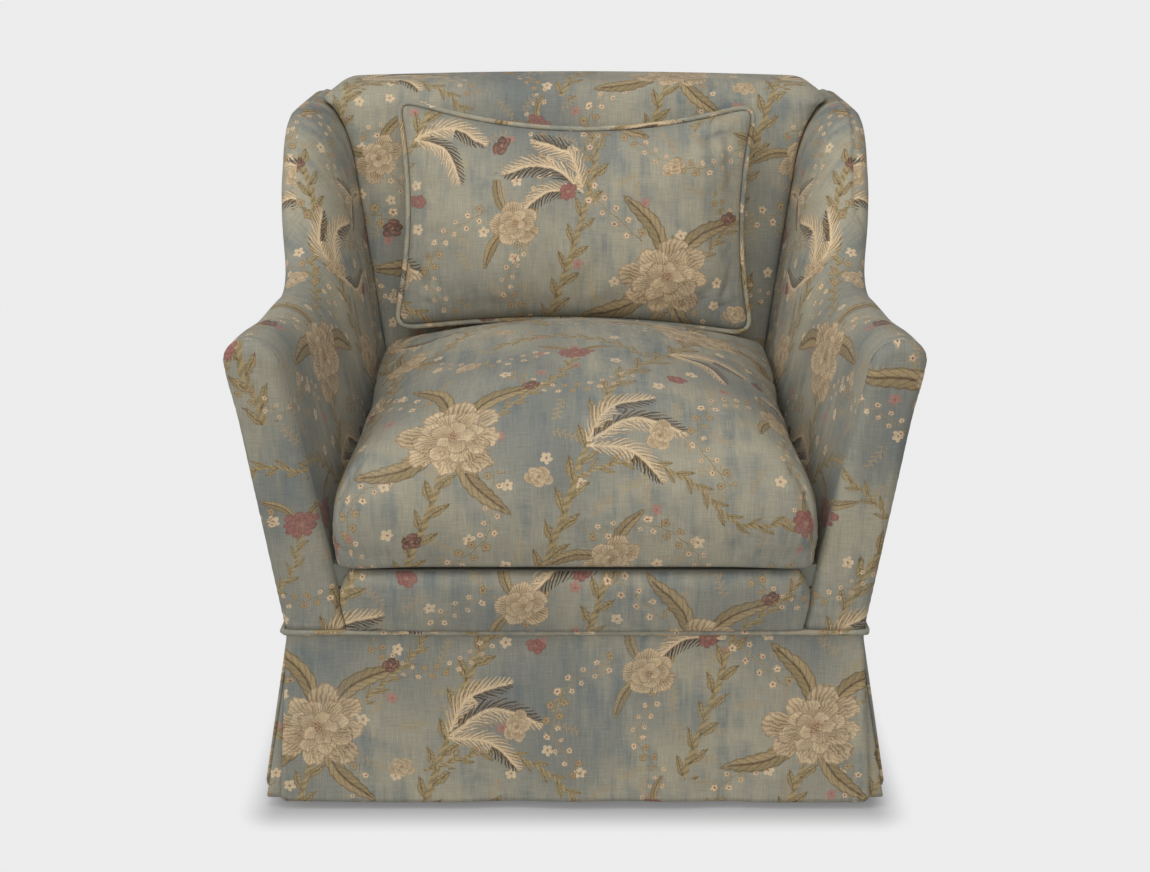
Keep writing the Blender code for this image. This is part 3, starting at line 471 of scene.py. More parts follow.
def back_cover():
    """The inside back, rolled over its top to the outside back."""
    bottom, count = SEAT_BASE + GAP, 110
    sheets, cloths, backs = [], [], []
    for u in bunched(97, 0.93):
        near = abs(u)
        top = BACK_TOP + 0.001 - 0.008 * near**2 - 0.021 * max((near - 0.88) / 0.12, 0) ** 2
        side_in = 0.014 * (1 - math.sqrt(max(1 - max((near - 0.90) / 0.10, 0) ** 2, 0)))
        bulge = BACK_CROWN * (1 - u * u) - side_in
        profile = [
            (back_front_y(bottom) - bulge, bottom),
            (back_front_y(top) - bulge, top),
            (rear_y(top), top),
            (rear_y(BACK_LIP), BACK_LIP),
        ]
        outline = rounded(profile, [None, 0.045, 0.024, None])
        run = np.linspace(0, lengths(outline)[-1], count)
        spots = resampled(outline, run)
        sheets.append(over_back(u, spots))
        cloths.append(np.column_stack([sheets[-1][:, 0], run + bottom]))
        rear = [spots[0], (pad_rear_y(bottom), bottom), (pad_rear_y(BACK_LIP), BACK_LIP), spots[-1]]
        rear = np.array(rear)
        backs.append(over_back(u, resampled(rear, np.linspace(0, lengths(rear)[-1], count))))
    sheets, cloths, backs = np.array(sheets), np.array(cloths), np.array(backs)
    cover = Cover()
    cover.grid(sheets, cloths)
    cover.grid(backs)
    across = np.linspace(0, 1, 9)[:, None]
    for k, sign in ((0, LEFT), (-1, RIGHT)):
        y = sheets[k, :, 1] * (1 - across) + backs[k, :, 1] * across
        z = sheets[k, :, 2] * (1 - across) + backs[k, :, 2] * across
        cheek = np.stack([sign * between_wings(y, z), y, z], axis=-1)
        cheek[0], cheek[-1] = sheets[k], backs[k]
        cover.grid(cheek)
    obj = cover.build("back_cover")
    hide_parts("inside_back")
    return obj


def from_ends(count):
    """Steps from each place in a row to the nearer end of the row."""
    return np.minimum(np.arange(count), np.arange(count)[::-1])


def outside_back():
    """The panel that closes the back. Its top follows the wings' corners and rises behind the back."""
    low, high = SKIRT_TOP + GAP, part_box("outside_back")[1].z
    rows, columns = 90, 121
    wing = WING_TOP - 2 * GAP
    half_top = outer_x(rear_y(wing), wing)
    shoulder = inner_x(rear_y(wing), wing) / half_top
    face = np.zeros((rows, columns, 3))
    for j, u in enumerate(np.linspace(-1, 1, columns)):
        near = abs(u)
        if near > shoulder:
            out = max((near * half_top - (half_top - OUTER_ROUNDING)) / OUTER_ROUNDING, 0)
            end = wing - OUTER_ROUNDING * (1 - math.sqrt(max(1 - out**2, 0)))
        else:
            raised = high - 0.004 * (near / shoulder) ** 2
            end = between(wing, raised, float(smooth((shoulder - near) / 0.03)))
        z = low + (end - low) * np.arange(rows) / (rows - 1)
        y = rear_y(z) + GAP
        face[:, j] = np.column_stack([u * outer_x(y, z), y, z])
    edge_x = from_ends(columns) * (2 / (columns - 1)) * 0.4
    edge_z = from_ends(rows) * (high - low) / (rows - 1)
    apart = np.minimum(edge_x[None, :], edge_z[:, None])
    out = face.copy()
    fullness = np.sqrt(1 - np.clip(1 - apart / 0.02, 0, 1) ** 2)
    out[:, :, 1] += between(PANEL_EDGE, OUTSIDE_THICKNESS, fullness)
    cover = Cover()
    cover.shell(face, out, np.stack([-face[:, :, 0], face[:, :, 2]], axis=-1) + REAR_CUT)
    obj = cover.build("back_panel")
    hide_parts("outside_back")
    return obj


def front_border():
    """The padded border below the cushion, with rounded upper corners."""
    bottom, top = SKIRT_TOP + GAP, SEAT_BASE - CUSHION_SHADOW_GAP
    wall = FRAME_FRONT - GAP
    half = inner_x(FRAME_FRONT, top) - GAP
    sheets, backs = [], []
    for u in bunched(93, 0.9):
        near = abs(u)
        peak = top - 0.034 * max(1 - (1 - near) * half / 0.027, 0) ** 1.7
        bulge = 0.0135 * (1 - near**10)
        zs = np.linspace(bottom, peak, 22)
        share = (zs - bottom) / (top - bottom)
        y = FRONT - bulge * np.sin(np.clip(share * 1.15 + 0.12, 0, 1) * math.pi / 2) ** 0.7
        lip = np.clip((zs - (peak - 0.018)) / 0.018, 0, 1)
        y = y + 0.016 * (1 - np.sqrt(1 - lip**2))
        x = u * (inner_x(FRAME_FRONT, zs) - GAP)
        front = np.column_stack([x, y, zs])
        sheets.append(front)
        backs.append([front[-1], (x[-1], wall, peak), (x[0], wall, bottom), front[0]])
    sheets, backs = np.array(sheets), np.array(backs)
    cover = Cover()
    cover.grid(sheets, sheets[:, :, [0, 2]])
    cover.grid(backs)
    for k in (0, -1):
        cover.cap(np.concatenate([sheets[k], backs[k][1:-1]]))
    obj = cover.build("seat_border")
    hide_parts("front_border")
    return obj


# Seat cushion, as in the CAD source
CUSHION_SHADOW_GAP = 0.004
CUSHION_PROUD = 0.025
CUSHION_SIDE_GAP = 0.019
CUSHION_REAR_DRAW = 0.021  # how far its sides come in at the foot, at the rear
CUSHION_FRONT_DRAW = 0.016  # how far its front does
CUSHION_FRONT_LIFT = 0.005
CUSHION_FOOT_RADIUS = 0.006
CUSHION_FRONT_SEAM = 0.067
CUSHION_REAR_SEAM = 0.140
CUSHION_THICKNESS = 0.219
CUSHION_CROWN = 0.060
CUSHION_FRONT_BOW = 0.008


def cushion_seam(v):
    return SEAT_BASE + CUSHION_FRONT_SEAM + (CUSHION_REAR_SEAM - CUSHION_FRONT_SEAM) * (v + 1) / 2


def cushion_foot(u, v):
    """Height of the underside, which bows clear of the deck at the front."""
    return SEAT_BASE + CUSHION_FRONT_LIFT * ((1 - v) / 2) ** 3 * (1 - u**4)


def cushion_depth():
    rear = back_front_y(SEAT_BASE + CUSHION_REAR_SEAM) - BACK_CROWN - 2 * GAP
    return rear - (FRONT - CUSHION_PROUD)


def cushion_half_width(y, v):
    return inner_x(y, cushion_seam(v)) - CUSHION_SIDE_GAP


def cushion_top(u, v, out=None):
    if out is None:
        out = np.maximum(np.abs(u), np.abs(v))
    out = np.clip(out, 0, 1)
    shoulder = SEAT_BASE + CUSHION_THICKNESS - CUSHION_CROWN
    rise = (shoulder - cushion_seam(v)) * np.sqrt(1 - out**5)
    crown = np.maximum((1 - u * u) * (1 - np.abs(v) ** 3), 0) * np.sqrt(1 - out**12)
    return cushion_seam(v) + rise + CUSHION_CROWN * crown


def cushion_place(u, v, height, drawn=1.0):
    """Points of the cushion. drawn below 1 takes them in towards its middle."""
    depth = cushion_depth()
    share = (v * drawn + 1) / 2
    y = FRONT - CUSHION_PROUD + depth * share
    below = np.maximum(cushion_seam(v) - height, 0)
    sunk = below / (cushion_seam(v) - cushion_foot(u, v))
    raised = height - cushion_seam(v)
    above = smooth(raised / 0.05) * (1 - smooth(raised / 0.12))
    fullness = 0.0045 + 0.0025 * np.sin(math.pi * sunk) - 0.003 * sunk**3 + 0.001 * above
    half = cushion_half_width(y, v) + fullness - CUSHION_REAR_DRAW * share * sunk
    y = y - BACK_LEAN_RATIO * share**3 * below
    back_set = CUSHION_FRONT_BOW * u * u + CUSHION_FRONT_DRAW * sunk**2 * (1 - 0.7 * u**4)
    y = y + back_set * (1 - share) ** 3
    return np.stack([u * drawn * half, y, height], axis=-1)


def inflate(obj, freedom, cap, slimmed, pressure=4.0, spare=0.02, stiffness=12.0):
    """Lets a stuffed piece's cloth swell. freedom, from 0 to 1 for each point, holds seams and what rests."""
    mesh = obj.data
    count = len(mesh.vertices)
    rest, normals = np.zeros(count * 3), np.zeros(count * 3)
    mesh.vertices.foreach_get("co", rest)
    mesh.vertices.foreach_get("normal", normals)
    rest, normals = rest.reshape(-1, 3), normals.reshape(-1, 3)
    freedom = freedom(rest)[:, None]
    begin = rest - normals * slimmed * freedom
    mesh.vertices.foreach_set("co", begin.ravel())
    mesh.update()
    group = obj.vertex_groups.new(name="held")
    for level in np.linspace(0, 1, 11):
        near = np.nonzero(np.abs(1 - freedom[:, 0] - level) <= 0.05)[0]
        group.add(near.tolist(), float(level), "REPLACE")
    swelling = obj.modifiers.new("swelling", "CLOTH")
    cloth = swelling.settings
    cloth.quality = 6
    cloth.mass = 0.25
    cloth.tension_stiffness = cloth.compression_stiffness = stiffness
    cloth.shear_stiffness = stiffness / 2
    cloth.bending_stiffness = 0.15
    cloth.use_pressure = True
    cloth.uniform_pressure_force = pressure
    cloth.shrink_min = -spare
    cloth.effector_weights.gravity = 0
    cloth.vertex_group_mass = "held"
    swelling.collision_settings.use_collision = False
    swelling.point_cache.frame_start = 1
    swelling.point_cache.frame_end = 20
    scene = bpy.context.scene
    for frame_number in range(1, 21):
        scene.frame_set(frame_number)
    grown = obj.evaluated_get(bpy.context.evaluated_depsgraph_get()).data
    swollen = np.zeros(count * 3)
    grown.vertices.foreach_get("co", swollen)
    step = swollen.reshape(-1, 3) - begin
    size = np.linalg.norm(step, axis=1, keepdims=True)
    step *= cap * np.tanh(size / cap) / np.maximum(size, 1e-9) * freedom
    obj.modifiers.remove(swelling)
    obj.vertex_groups.remove(group)
    scene.frame_set(1)
    mesh.vertices.foreach_set("co", (begin + step).ravel())
    mesh.update()


def squircle_grid(columns, rows, power=14, tightness=0.97):
    """Places (u, v) of a grid whose outer ring is a rounded square, and how far out each lies."""
    s, t = np.meshgrid(bunched(columns, tightness), bunched(rows, tightness))
    out = np.maximum(np.abs(s), np.abs(t))
    norm = (np.abs(s) ** power + np.abs(t) ** power) ** (1 / power)
    scale = np.where(norm > 1e-9, out / np.maximum(norm, 1e-9), 1)
    return s * scale, t * scale, out


def ring_of(grid):
    """The outer ring of a grid of values."""
    return np.concatenate([grid[0], grid[1:, -1], grid[-1, -2::-1], grid[-2:0:-1, 0]])


def seat_cushion():
    u, v, out = squircle_grid(79, 71, power=18)
    top = cushion_place(u, v, cushion_top(u, v, out))
    cover = Cover()
    # The cloth runs from the back over the top and down the front
    centre = top.shape[1] // 2
    run = lengths(top[:, :, 1:])
    width = lengths(top[:, :, [0, 2]], axis=1)
    cloth = np.stack([width - width[:, [centre]], 0.5 * run + 0.5 * run[:, [centre]]], axis=-1)
    cover.grid(top, cloth)
    # Its border hangs from the seam and turns under in a small radius
    rim_u, rim_v, rim_cloth = ring_of(u), ring_of(v), ring_of(cloth)
    rim = np.stack([rim_u, rim_v], axis=1)
    away = unit(np.sign(rim) * np.abs(rim) ** 13)
    seam = cushion_seam(rim_v)
    foot = cushion_foot(rim_u, rim_v) + CUSHION_FOOT_RADIUS
    border = [(0.0, seam - (seam - foot) * fall) for fall in np.linspace(0, 1, 15)]
    for turn in np.linspace(0, math.pi / 2, 7)[1:]:
        inset = CUSHION_FOOT_RADIUS * (1 - math.cos(turn))
        border.append((inset, foot - CUSHION_FOOT_RADIUS * math.sin(turn)))
    border[-1] = (CUSHION_FOOT_RADIUS, cushion_foot(rim_u, rim_v))
    drawn = [1 - inset / (cushion_depth() / 2) for inset, _ in border]
    rows = [cushion_place(rim_u, rim_v, level, near) for near, (_, level) in zip(drawn, border)]
    cloths = [rim_cloth + away * (seam - level)[:, None] for _, level in border]
    cover.grid(np.array(rows), np.array(cloths), closed=True)
    cover.grid(cushion_place(u, v, cushion_foot(u, v), drawn[-1]), cloth)
    obj = cover.build("cushion")
    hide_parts("seat_cushion")

    def freedom(points):
        _, y, z = points.T
        off_base = smooth((z - SEAT_BASE - 0.004) / 0.030)
        off_back = smooth((back_front_y(z) - BACK_CROWN - y) / 0.05)
        off_pillow = smooth((0.05 - y) / 0.08)
        return off_base * off_back * off_pillow

    inflate(obj, freedom, cap=0.009, slimmed=0.003, spare=0.015)
    return obj


# Pillow: a little larger than its CAD solid at the corners, which are drawn out into ears
PILLOW_HALF_WIDTH = 0.2605
PILLOW_HALF_HEIGHT = 0.1655
PILLOW_HALF_THICKNESS = 0.054
PILLOW_TOP_SAG = 0.041
PILLOW_BOTTOM_RISE = 0.019
PILLOW_SIDE_DRAW = 0.0185
PILLOW_TILT = math.radians(-0.9)
PILLOW_RISE = 0.0042
CAD_PILLOW_HALF_HEIGHT = 0.158
PILLOW_EDGE = 0.0008
PILLOW_BACK_SHARE = 0.945  # fullness of its back over that of its front
PIPING_RADIUS = 0.0038
ACROSS = np.array([1.0, 0, 0])


def pillow_plan(u, v):
    x = PILLOW_HALF_WIDTH * u - PILLOW_SIDE_DRAW * (1 - v * v) * u * np.abs(u)
    draw = np.where(v > 0, PILLOW_TOP_SAG, PILLOW_BOTTOM_RISE)
    y = PILLOW_HALF_HEIGHT * v - draw * (1 - u * u) * v * np.abs(v)
    cos, sin = math.cos(PILLOW_TILT), math.sin(PILLOW_TILT)
    return x * cos - y * sin, x * sin + y * cos + PILLOW_RISE


def pillow_frame():
    """Middle of the pillow and its upward and outward directions, read off the CAD pillow."""
    up = unit(np.array([0, BACK_LEAN_RATIO, 1.0]))
    out = unit(np.array([0, -1.0, BACK_LEAN_RATIO]))
    points = np.array([v.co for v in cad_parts["lumbar_pillow"].data.vertices])
    heights, depths = points @ up, points @ out
    middle_high = heights.min() + CAD_PILLOW_HALF_HEIGHT
    middle_deep = (depths.min() + depths.max()) / 2
    return up * middle_high + out * middle_deep, up, out


def pillow():
    """The pillow and the cord round its edge."""
    middle, up, out = pillow_frame()

    def placed_at(plan, height=0.0):
        flat = middle + plan[..., :1] * ACROSS + plan[..., 1:] * up
        return flat + height * out

    u, v, far = squircle_grid(71, 51, power=22, tightness=0.96)
    cloth = np.stack(pillow_plan(u, v), axis=-1)
    rims = ring_of(cloth)
    square = np.sqrt(np.maximum((1 - u * u) * (1 - v * v), 0)) * np.sqrt(np.maximum(1 - far**12, 0))
    dome = 0.5 * np.sqrt(np.maximum(1 - far**2.2, 0)) + 0.5 * square
    rise = (PILLOW_HALF_THICKNESS - 0.001) * dome[..., None]
    cover = Cover()
    cover.grid(placed_at(cloth, PILLOW_EDGE + rise), cloth)
    cover.grid(placed_at(cloth, -(PILLOW_EDGE + rise * PILLOW_BACK_SHARE)), cloth * np.array([-1, 1]))
    band = np.stack([placed_at(rims, PILLOW_EDGE), placed_at(rims, -PILLOW_EDGE)])
    cover.grid(band, np.stack([rims, rims]), closed=True)
    obj = cover.build("pillow")
    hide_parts("lumbar_pillow")

    def freedom(points):
        rel = points - middle
        spots = np.stack([rel[:, 0], rel @ up], axis=1)
        apart = np.sqrt(((spots[:, None] - rims[None]) ** 2).sum(-1)).min(1)
        return smooth((apart - 0.002) / 0.03) * np.where(rel @ out > 0, 1.0, 0.0)

    inflate(obj, freedom, cap=0.012, slimmed=0.002, spare=0.05, stiffness=8.0)

    def lie(along, round_it):
        return along * 0.7 + round_it, along * 0.7 - round_it

    proud = PIPING_RADIUS + 0.0002
    cord = covered_cord("pillow_cord", rims, 260, PIPING_RADIUS, proud, placed_at, out, lie)
    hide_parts("pillow_piping")
    return obj, cord


def covered_cord(name, line, count, radius, proud, place, out, lie):
    """A cord sewn along a closed line in a plane, and proud of it.

    place puts points of the plane into space, out is its normal, and lie gives a spot's place on the
    cloth from its distances along the cord and round it.
    """
    loop = np.concatenate([line, line[:1]])
    along = np.linspace(0, lengths(loop)[-1], count + 1)
    line = resampled(loop, along[:-1])
    ahead = unit(np.roll(line, -1, 0) - np.roll(line, 1, 0))
    normal = np.stack([ahead[:, 1], -ahead[:, 0]], axis=1)
    turns = np.linspace(0, 2 * math.pi, 13)[:-1]
    middle = place(line + normal * proud)[:, None]
    outward = (place(normal) - place(normal * 0))[:, None]
    ring = np.cos(turns)[:, None] * outward + np.sin(turns)[:, None] * out
    rings = middle + radius * ring
    cloth = np.broadcast_arrays(*lie(along[:, None], turns * radius))
    cover = Cover()
    cover.grid(np.concatenate([rings, rings[:1]]), np.stack(cloth, axis=-1), closed=True)
    return cover.build(name)


# Skirt, as in the CAD source
HEM_HEIGHT = 0.012
HEM_PROUD = 0.020
SIDE_HEM_PROUD = 0.037
FRONT_HEM_SPREAD = 0.014
SKIRT_CLOTH = 0.004
PLEAT_CLOTH = 0.003
PLEAT_LEG = 0.100
PLEAT_LIFT = 0.004
PLEAT_FOLD = 0.0042
WELT_RADIUS = 0.004
CLOTH_IN = GAP + PLEAT_CLOTH + GAP
CLOTH_OUT = CLOTH_IN + SKIRT_CLOTH
SKIRT_HEAD = SKIRT_TOP - GAP
SKIRT_STRAIGHT = 2 * (WELT_RADIUS + GAP) / (SKIRT_HEAD - HEM_HEIGHT)  # share of its height behind the welt


def base_x(y, depth=0.0):
    return outer_x(y, SKIRT_TOP) - depth


def sheet_of(name, outer, cloth, facing):
    """A hanging panel of doubled cloth: its outer face, given as a grid, and a lining behind it."""
    cover = Cover()
    cover.shell(outer, outer - np.array(facing) * SKIRT_CLOTH, cloth, rows=3)
    return cover.build(name)


END_HEM = PANEL_THICKNESS + GAP + HEM_PROUD
REAR_HEM = OUTSIDE_THICKNESS + GAP + HEM_PROUD
SIDE_HEM = BODY_HALF_WIDTH + SIDE_HEM_PROUD - base_x(FRONT, BOARD_IN)


def corner_lift(inset, radius):
    """How far a hem rises this far in from the end of its panel, where its corner is rounded."""
    short = np.clip(1 - inset / radius, 0, 1)
    return radius * (1 - np.sqrt(1 - short**2))


def pleats():
    """The folded cloth behind each corner of the skirt."""
    made = []
    low = HEM_HEIGHT + PLEAT_LIFT
    straight = SKIRT_HEAD - 2 * WELT_RADIUS - 2 * GAP
    fallen = (straight - low) / (straight - HEM_HEIGHT)
    heights = np.concatenate([[SKIRT_HEAD], np.linspace(straight, low, 32)])
    columns = 57
    for end, wall, facing, hem in (
        ("front", FRAME_FRONT, -1, END_HEM),
        ("rear", TIMBER_REAR, 1, REAR_HEM),
    ):

        def path(z, depth):
            share = np.clip((straight - z) / (straight - low), 0, 1)
            close = GAP + PLEAT_CLOTH
            out_x, out_y = (
                close + (CLOTH_IN - GAP + fallen * (h - SKIRT_CLOTH - CLOTH_IN) - close) * share
                for h in (SIDE_HEM, hem)
            )
            front_x = base_x(wall + facing * out_y, BOARD_IN) + out_x
            corner_y = wall + facing * (out_y - depth)
            end_y = wall - facing * PLEAT_LEG
            legs = [
                (front_x - PLEAT_LEG, corner_y),
                (front_x - depth, corner_y),
                (base_x(end_y, BOARD_IN) + out_x - depth, end_y),
            ]
            line = rounded(legs, [None, PLEAT_FOLD - depth, None], steps=6)
            return resampled(line, np.linspace(0, lengths(line)[-1], columns))

        for sign in (LEFT, RIGHT):
            faces = []
            for depth in (0.0, PLEAT_CLOTH):
                grid = [np.column_stack([path(z, depth), np.full(columns, z)]) for z in heights]
                faces.append(np.array(grid) * np.array([sign, 1, 1]))
            run = np.linspace(0, 2 * PLEAT_LEG, columns)
            cloth = np.stack(np.broadcast_arrays(run * sign, heights[:, None]), axis=-1)
            cover = Cover()
            cover.shell(*faces, cloth)
            name = f"{end}_{SIDE_NAMES[sign]}"
            obj = cover.build(f"kick_pleat_{name}")
            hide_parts(f"pleat_{name}")
            made.append(obj)
    return made


def skirt():
    """The four hanging panels, which flare below the welt and wave a little."""
    made = []
    fall = np.linspace(0, 1, 40)[:, None]
    flare = np.maximum(fall - SKIRT_STRAIGHT, 0) / (1 - SKIRT_STRAIGHT)

    def hung(x, y, hem_z):
        z = between(SKIRT_HEAD, hem_z, fall)
        return np.stack(np.broadcast_arrays(x, y, z), axis=-1)

    us = np.linspace(-1, 1, 121)
    spread = BODY_HALF_WIDTH + FRONT_HEM_SPREAD - (base_x(FRONT, BOARD_IN) + CLOTH_OUT)
    for name, wall, facing, hem in (
        ("skirt_front", FRAME_FRONT, -1, END_HEM),
        ("skirt_rear", TIMBER_REAR, 1, REAR_HEM),
    ):
        head = base_x(wall, BOARD_IN) + CLOTH_OUT
        half = head + spread * fall
        calm = smooth((0.72 - np.abs(us)) / 0.25)
        wave = 0.0016 * np.sin(us * 7.3 + 0.6) + 0.0012 * np.sin(us * 17.1 + 2.0)
        stand = between(CLOTH_OUT, hem, flare) + wave * flare * calm
        lift = 0.0012 * np.sin(us * 5.1 + 1.0) + corner_lift((1 - np.abs(us)) * half, 0.006)
        grid = hung(us * half, wall + facing * stand, HEM_HEIGHT + lift)
        obj = sheet_of(f"{name}_panel", grid, grid[:, :, [0, 2]], (0, facing, 0))
        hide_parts(name)
        2 * (head + spread)
        made.append(obj)
    near = FRAME_FRONT - CLOTH_IN + GAP
    far = TIMBER_REAR + CLOTH_IN - GAP
    share = np.linspace(0, 1, 121)
    ys = near + (far - near) * (0.85 * share + 0.15 * (1 - np.cos(math.pi * share)) / 2)
    inset = np.minimum(ys - near, far - ys)
    wave = (0.0016 * np.sin(ys * 19 + 0.3) + 0.001 * np.sin(ys * 43)) * smooth(inset / 0.1 - 1.0)
    stand = between(CLOTH_OUT, SIDE_HEM, flare) + wave * flare
    panel = hung(base_x(ys, BOARD_IN) + stand, ys, HEM_HEIGHT + corner_lift(inset, 0.014))
    for sign in (LEFT, RIGHT):
        name = SIDE_NAMES[sign]
        cloth = panel[:, :, 1:] * np.array([sign, 1])
        obj = sheet_of(f"skirt_{name}_panel", panel * np.array([sign, 1, 1]), cloth, (sign, 0, 0))
        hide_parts(f"skirt_{name}")
        made.append(obj)
    return made


def welt():
    """The cord round the body, above the skirt."""
    stand = CLOTH_OUT + GAP + WELT_RADIUS
    near, far = FRAME_FRONT - stand, TIMBER_REAR + stand
    near_x, far_x = base_x(near, BOARD_IN) + stand, base_x(far, BOARD_IN) + stand
    corners = [(-near_x, near), (near_x, near), (far_x, far), (-far_x, far)]
    line = rounded(corners, [WELT_RADIUS + GAP] * 4, steps=8)

    def level(plan):
        return np.column_stack([plan, np.full(len(plan), SKIRT_TOP - GAP - WELT_RADIUS)])

    def lie(along, round_it):
        return along, round_it

    count = int(lengths(np.concatenate([line, line[:1]]))[-1] / 0.006)
    obj = covered_cord("skirt_cord", line, count, WELT_RADIUS, 0.0, level, np.array([0, 0, 1.0]), lie)
    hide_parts("skirt_welt")
    return obj


# The print: a generic botanical repeat, drawn from shapes on each piece's cloth coordinates
REPEAT = np.array([0.64, 0.70])

# Blooms: place in the repeat, radius, petals, tint (below 0.3 cream, to 0.6 crimson, above it dark),
# height over width as seen from the side, and turn in degrees
BLOOMS = [
    (0.150, 0.215, 0.074, 8, 0.08, 0.84, 15),
    (0.470, 0.545, 0.082, 7, 0.12, 0.78, -20),
    (0.345, 0.050, 0.044, 6, 0.05, 0.80, 50),
    (0.060, 0.475, 0.050, 6, 0.10, 0.74, -40),
    (0.575, 0.290, 0.041, 5, 0.14, 0.85, 30),
    (0.300, 0.395, 0.029, 9, 0.42, 0.66, 20),
    (0.585, 0.100, 0.025, 7, 0.42, 0.72, -35),
    (0.215, 0.620, 0.024, 8, 0.42, 0.66, 10),
    (0.010, 0.335, 0.018, 6, 0.42, 0.70, 60),
    (0.430, 0.325, 0.015, 5, 0.42, 0.80, 0),
    (0.120, 0.560, 0.013, 5, 0.42, 0.75, 25),
    (0.365, 0.645, 0.020, 5, 0.80, 0.75, 15),
    (0.100, 0.075, 0.017, 5, 0.80, 0.70, 20),
    (0.555, 0.405, 0.018, 4, 0.80, 0.70, 65),
    (0.245, 0.300, 0.013, 4, 0.80, 0.80, 40),
    (0.255, 0.160, 0.020, 5, 0.05, 0.80, -20),
    (0.035, 0.620, 0.027, 6, 0.05, 0.70, -35),
    (0.405, 0.215, 0.025, 5, 0.08, 0.80, 75),
    (0.160, 0.370, 0.020, 5, 0.05, 0.70, 20),
    (0.600, 0.650, 0.023, 5, 0.05, 0.75, -30),
    (0.205, 0.505, 0.016, 5, 0.10, 0.80, 0),
    (0.490, 0.015, 0.019, 5, 0.05, 0.78, 10),
    (0.330, 0.560, 0.014, 5, 0.05, 0.80, 35),
]

def fanned(root, spokes):
    """Fronds from one point: (angle, length, bend, half width, tone) each."""
    made = []
    for angle, length, bend, half_width, tone in spokes:
        way = np.array([math.cos(math.radians(angle)), math.sin(math.radians(angle))])
        end = np.array(root) + way * length
        middle = (np.array(root) + end) / 2 + np.array([-way[1], way[0]]) * bend
        made.append(("frond", half_width, 0.0, tone, [root, middle, end]))
    return made


# Vines and sprays: kind, half width, pitch of their leaves or florets, and points of the line
STEMS = [
    ("vine", 0.027, 0.043, [
        (0.260, -0.16), (0.235, -0.05), (0.275, 0.08), (0.315, 0.20), (0.36, 0.32),
        (0.43, 0.42), (0.465, 0.50),
    ]),
    ("vine", 0.025, 0.040, [
        (0.625, 0.16), (0.665, 0.28), (0.69, 0.40), (0.655, 0.54), (0.68, 0.66),
        (0.74, 0.76), (0.78, 0.87),
    ]),
    ("vine", 0.016, 0.028, [(0.30, 0.16), (0.37, 0.18), (0.44, 0.155), (0.50, 0.10), (0.56, 0.10)]),
    ("vine", 0.015, 0.027, [(0.69, 0.42), (0.76, 0.47), (0.80, 0.55), (0.86, 0.60)]),
    ("vine", 0.015, 0.027, [(0.40, 0.39), (0.34, 0.45), (0.26, 0.47), (0.20, 0.44)]),
    ("vine", 0.014, 0.025, [(0.22, 0.26), (0.28, 0.32), (0.30, 0.38)]),
    ("vine", 0.014, 0.025, [(0.53, 0.60), (0.60, 0.62), (0.66, 0.66)]),
    ("spray", 0.021, 0.026, [(0.43, 0.60), (0.36, 0.66), (0.27, 0.66), (0.19, 0.62)]),
    ("spray", 0.018, 0.024, [(0.10, 0.28), (0.04, 0.34), (0.03, 0.40), (0.07, 0.45)]),
    ("spray", 0.018, 0.024, [(0.55, 0.56), (0.61, 0.60), (0.62, 0.67), (0.58, 0.73)]),
    ("spray", 0.016, 0.022, [(0.09, 0.17), (0.03, 0.13), (0.02, 0.06), (0.06, 0.00)]),
    ("spray", 0.016, 0.021, [(0.36, 0.03), (0.42, -0.02), (0.50, -0.01), (0.55, 0.03)]),
    ("spray", 0.015, 0.020, [(0.52, 0.30), (0.47, 0.27), (0.45, 0.21), (0.48, 0.16)]),
    ("spray", 0.015, 0.020, [(0.20, 0.15), (0.19, 0.08), (0.14, 0.03), (0.15, -0.04)]),
    ("spray", 0.015, 0.020, [(0.13, 0.50), (0.18, 0.55), (0.16, 0.61), (0.10, 0.64)]),
    ("spray", 0.014, 0.019, [(0.26, 0.40), (0.21, 0.37), (0.15, 0.38), (0.10, 0.42)]),
    ("spray", 0.014, 0.019, [(0.60, 0.32), (0.62, 0.38), (0.59, 0.44), (0.53, 0.46)]),
    ("spray", 0.014, 0.020, [(0.33, 0.09), (0.39, 0.10), (0.44, 0.07), (0.47, 0.02)]),
    ("spray", 0.013, 0.018, [(0.40, 0.52), (0.35, 0.55), (0.29, 0.54), (0.24, 0.57)]),
    ("spray", 0.013, 0.018, [(0.58, 0.25), (0.56, 0.20), (0.59, 0.15), (0.57, 0.11)]),
    ("spray", 0.012, 0.017, [(0.37, 0.33), (0.33, 0.30), (0.27, 0.29), (0.23, 0.32)]),
]

